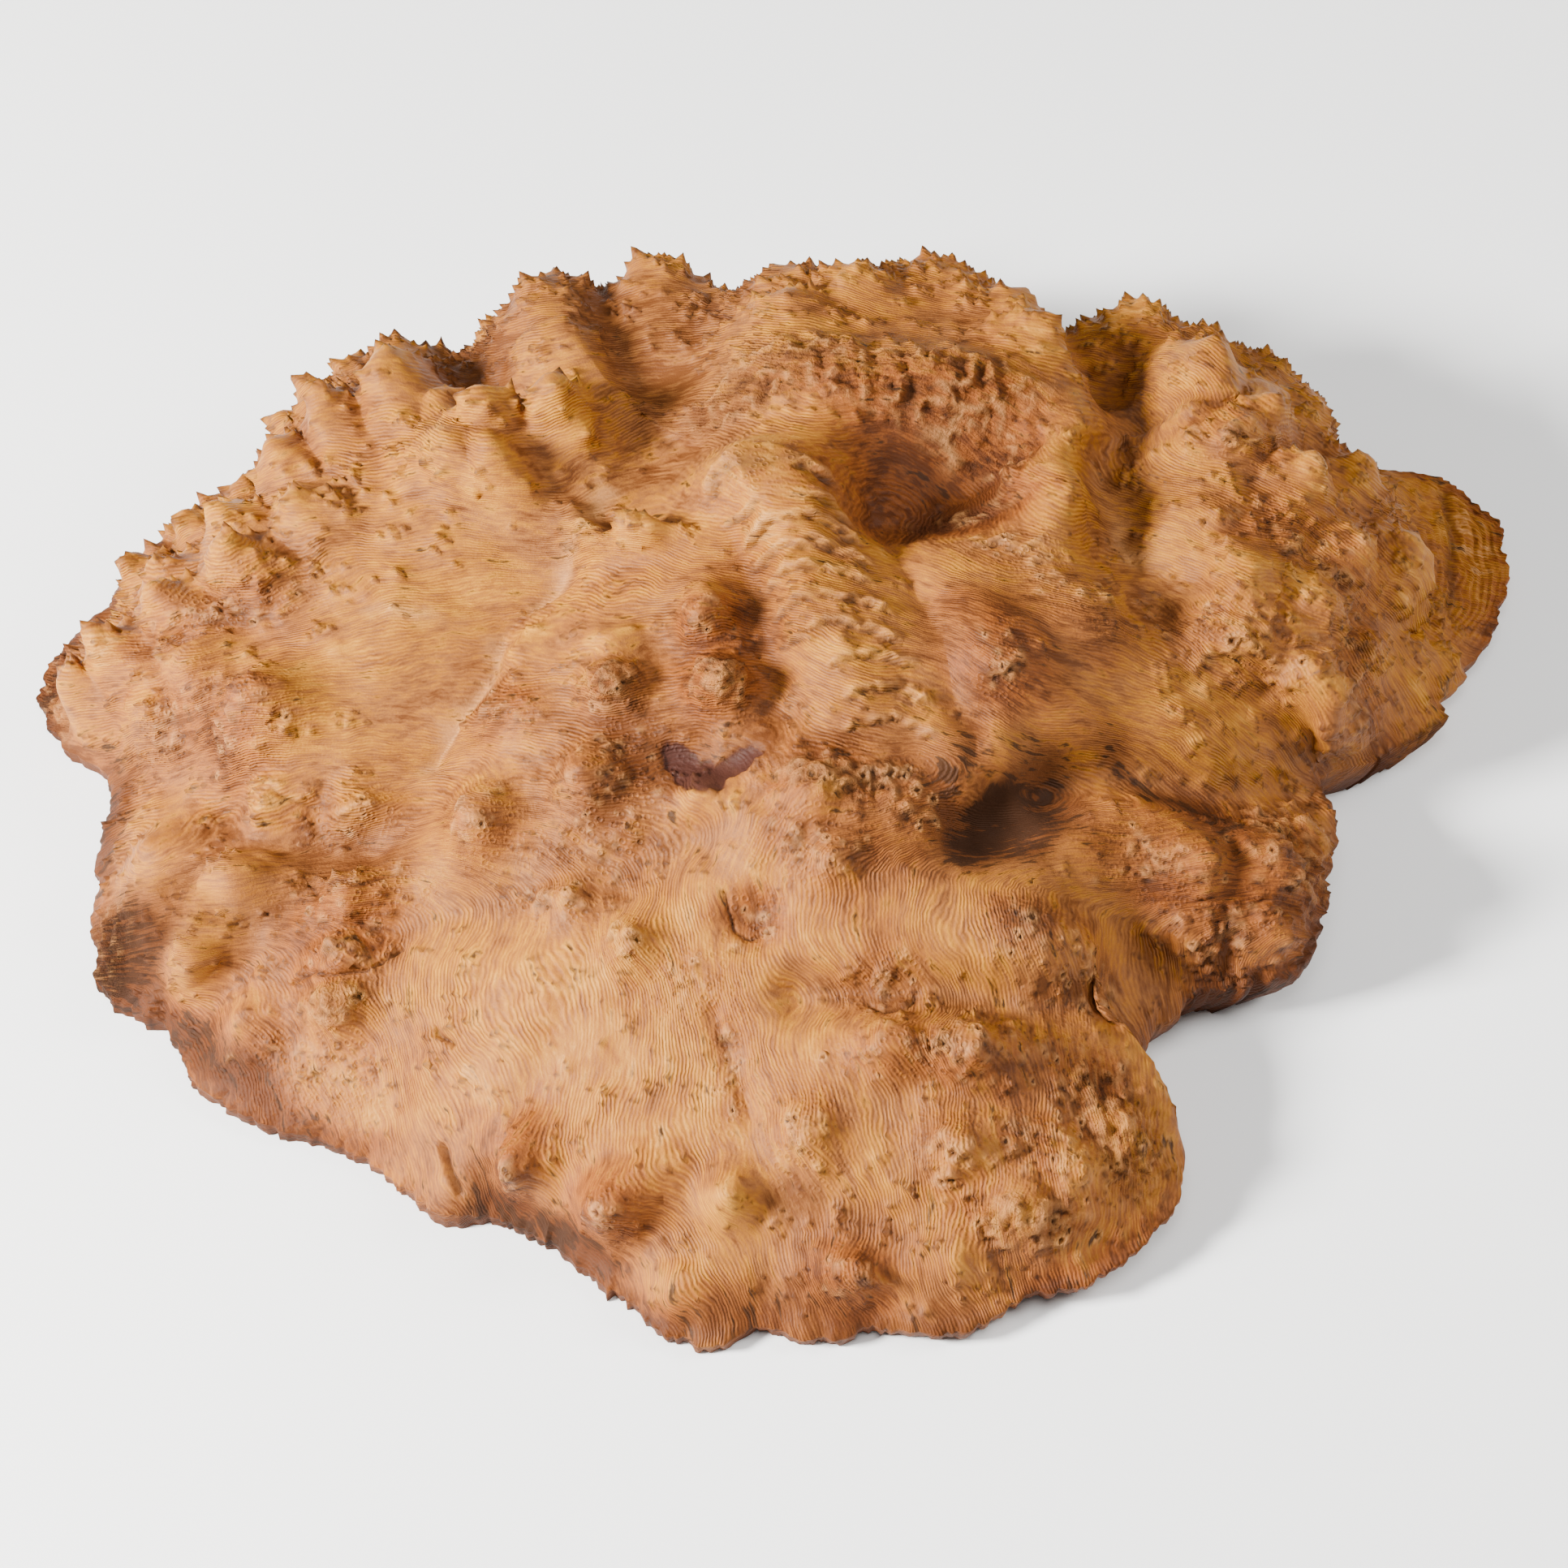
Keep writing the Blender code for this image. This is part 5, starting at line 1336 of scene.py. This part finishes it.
# What the growth lines do to the colour under them
LINE_DARK = (0.66, 0.55, 0.44, 1)
LINE_MIDDLE = (0.96, 0.94, 0.92, 1)
LINE_PALE = (1.17, 1.16, 1.08, 1)

# How the figure of the wood moves its lightness: times and plus
FIGURE = {"cloud": (0.5, -0.25), "wisps": (2.5, -1.3), "dashes": (2.4, -1.2), "speck": (0.24, -0.12)}

# How the streaks tear the stain's edge, and how sharp it then is
STAIN_TEAR = {"wisps": (2.4, -1.58), "dashes": (1.6, -0.8)}
STAIN_SHARP = 3.4

# How much of each mark's colour covers the wood
COVER = {"pores": 0.6, "inclusion": 0.96, "stain": 0.92, "dark": 0.85, "tip": 0.85}

# Heights of the fine relief, in metres
LINE_RELIEF = 0.00032
EYE_RELIEF = 0.0003
FUZZ_RELIEF = 0.00025
CRUST_RELIEF = 0.0016
SAW_RELIEF = 0.0002


def burl_material():
    """Sanded burl: growth lines that wrap the thorns, warm and pale patches, stains, pores, dark tips,
    painted shade and painted sheen.
    """
    wood = Wood("burl_wood_skin")
    phase = wood.math("ADD", wood.field("grain"), wood.times(wood.noise(210, 2.0), 1.3))
    lines = wood.times(wood.math("SINE", wood.times(phase, 2 * math.pi)), 0.5, 0.5)
    speck = wood.noise(900, 3.0, 0.7)
    wisps = wood.streaks(phase, 0.30, 90)
    dashes = wood.streaks(phase, 0.85, 210)
    figure = {"cloud": wood.noise(60, 4.0), "wisps": wisps, "dashes": dashes, "speck": speck}

    level = wood.field("light")
    for name, (much, more) in FIGURE.items():
        level = wood.math("ADD", level, wood.times(figure[name], much, more))
    # Painted shade in small hollows
    level = wood.times(wood.field("hollow"), -0.22, level)
    level = wood.times(level, 0.5, 0.5, clamp=True)
    plain = wood.ramp(level, (0.0, CHESTNUT), (0.3, TAN), (0.55, HONEY), (0.95, CREAM))
    reddish = wood.ramp(level, (0.0, DEEP_RUST), (0.4, RUST), (0.75, HONEY), (1.0, PINK_CREAM))
    warmth = wood.times(wisps, 1.1, wood.math("SUBTRACT", wood.field("warm"), 0.6), clamp=True)
    colour = wood.mix(warmth, plain, reddish)

    shown = wood.times(wood.noise(38, 2.0), 3.2, -1.0, clamp=True)
    strength = wood.math("MULTIPLY", shown, wood.times(wood.noise(120), 1.3, -0.05), clamp=True)
    thin = wood.ramp(lines, (0.0, LINE_DARK), (0.5, LINE_MIDDLE), (1.0, LINE_PALE))
    colour = wood.mix(strength, colour, wood.mix(1.0, colour, thin, "MULTIPLY"))

    distance = wood.cells(420)
    pore = wood.ramp(distance, (0.0, 1.0), (0.13, 1.0), (0.22, 0.0))
    pores = wood.math("MULTIPLY", pore, wood.math("POWER", wood.field("eyes"), 2.0))
    colour = wood.mix(wood.times(pores, COVER["pores"]), colour, BARK)
    # The pale field holds pale marks of the wood and the painted sheen along the valley creases
    pale = wood.math("MULTIPLY", wood.field("pale"), wood.times(speck, 1.2, 0.1), clamp=True)
    colour = wood.mix(pale, colour, PINK_CREAM)
    colour = wood.mix(wood.times(wood.field("inclusion"), COVER["inclusion"]), colour, PURPLE)
    stain = wood.field("stain")
    for name, (much, more) in STAIN_TEAR.items():
        stain = wood.math("ADD", stain, wood.times(figure[name], much, more))
    stain = wood.times(stain, STAIN_SHARP, clamp=True)
    colour = wood.mix(wood.times(stain, COVER["stain"]), colour, STAIN)
    # The dark field holds dark marks of the wood and the painted shade in thorn pits, cracks and under ledges
    for name, paint in (("dark", PITCH_AND_SHADE), ("tip", TIP_BROWN)):
        colour = wood.mix(wood.times(wood.field(name), COVER[name], clamp=True), colour, paint)
    wood.join(colour, wood.shader.inputs["Base Color"])

    rough = wood.times(wood.field("stain"), 0.2, wood.times(speck, 0.2, 0.42))
    rough = wood.times(wood.field("crust"), 0.15, rough)
    wood.join(rough, wood.shader.inputs["Roughness"])
    wood.shader.inputs["Specular IOR Level"].default_value = 0.12

    grain = wood.bump(wood.math("MULTIPLY", lines, strength), LINE_RELIEF)
    ring = wood.ramp(distance, (0.0, 0.0), (0.18, 0.1), (0.38, 1.0), (0.62, 0.45))
    eyes = wood.bump(wood.math("MULTIPLY", ring, wood.field("eyes")), EYE_RELIEF, under=grain)
    fuzz = wood.bump(wood.noise(1400, 4.0, 0.65), FUZZ_RELIEF, 0.7, eyes)
    bits = wood.math("MULTIPLY", wood.noise(620, 4.0, 0.7), wood.field("crust"))
    wood.join(wood.bump(bits, CRUST_RELIEF, under=fuzz), wood.shader.inputs["Normal"])
    return wood.material


def sawn_material():
    """The sawn face: wavy growth bands, scattered eyes and fine saw lines."""
    wood = Wood("burl_wood_sawn")
    bands = wood.node("ShaderNodeTexWave", Scale=55, Distortion=14, Detail=4, Detail_Scale=0.5)
    bands.wave_type = "RINGS"
    bands.rings_direction = "Z"
    wood.links.new(wood.places(), bands.inputs["Vector"])
    cloud = wood.times(wood.noise(28, 5.0), 0.9, -0.05)
    level = wood.times(bands.outputs["Fac"], 0.28, cloud, clamp=True)
    colour = wood.ramp(level, (0.1, TAN), (0.45, HONEY), (0.9, CREAM))
    eye = wood.ramp(wood.cells(110), (0.0, 1.0), (0.08, 0.7), (0.20, 0.0))
    where = wood.ramp(wood.noise(22, 2.0), (0.45, 0.0), (0.62, 1.0))
    colour = wood.mix(wood.math("MULTIPLY", eye, where), colour, CHESTNUT)
    wood.join(colour, wood.shader.inputs["Base Color"])
    wood.shader.inputs["Roughness"].default_value = 0.62
    saw = wood.node("ShaderNodeTexWave", Scale=190, Distortion=0.8)
    saw.bands_direction = "X"
    wood.links.new(wood.places(), saw.inputs["Vector"])
    marks = wood.bump(saw.outputs["Fac"], SAW_RELIEF, 0.6)
    wood.join(wood.bump(wood.noise(1200), SAW_RELIEF, 0.5, marks), wood.shader.inputs["Normal"])
    return wood.material


def floor():
    """A plain white floor."""
    material = bpy.data.materials.new("floor")
    material.use_nodes = True
    shader = material.node_tree.nodes["Principled BSDF"]
    shader.inputs["Base Color"].default_value = (0.93, 0.93, 0.925, 1)
    shader.inputs["Roughness"].default_value = 0.9
    shader.inputs["Specular IOR Level"].default_value = 0.1
    mesh = bpy.data.meshes.new("floor")
    h = FLOOR_HALF
    mesh.from_pydata([(-h, -h, 0), (h, -h, 0), (h, h, 0), (-h, h, 0)], [], [(0, 1, 2, 3)])
    mesh.materials.append(material)
    plate = bpy.data.objects.new("floor", mesh)
    plate.location.z = -0.0002
    bpy.context.scene.collection.objects.link(plate)


def aim(thing, target):
    """Turns a lamp or the camera toward a point."""
    thing.rotation_euler = (Vector(target) - thing.location).to_track_quat("-Z", "Y").to_euler()


def lamp(name, place_at, size, power, colour):
    """One soft square lamp aimed at the cap."""
    data = bpy.data.lights.new(name, "AREA")
    data.size = size
    data.energy = power
    data.color = colour
    light = bpy.data.objects.new(name, data)
    light.location = place_at
    bpy.context.scene.collection.objects.link(light)
    aim(light, (0, 0, 0.03))


def studio():
    """Soft light from the front left and above, with pale surroundings."""
    world = bpy.data.worlds.new("studio")
    world.use_nodes = True
    back = world.node_tree.nodes["Background"]
    back.inputs["Color"].default_value = (1.0, 1.0, 1.0, 1)
    back.inputs["Strength"].default_value = WORLD_LIGHT
    bpy.context.scene.world = world
    for row in LAMPS:
        lamp(*row)


def camera():
    """The photo's view of the cap."""
    data = bpy.data.cameras.new("camera")
    data.sensor_width = SENSOR
    data.lens = SENSOR * FOCAL_SHARE
    camera_object = bpy.data.objects.new("camera", data)
    up = math.radians(CAMERA_ELEVATION)
    target = Vector(CAMERA_TARGET)
    camera_object.location = target + Vector((0, -math.cos(up), math.sin(up))) * CAMERA_DISTANCE
    bpy.context.scene.collection.objects.link(camera_object)
    aim(camera_object, CAMERA_TARGET)
    bpy.context.scene.camera = camera_object


floor()
studio()
camera()
cap = burl_cap()
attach(cap, "root")
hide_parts(NODE)
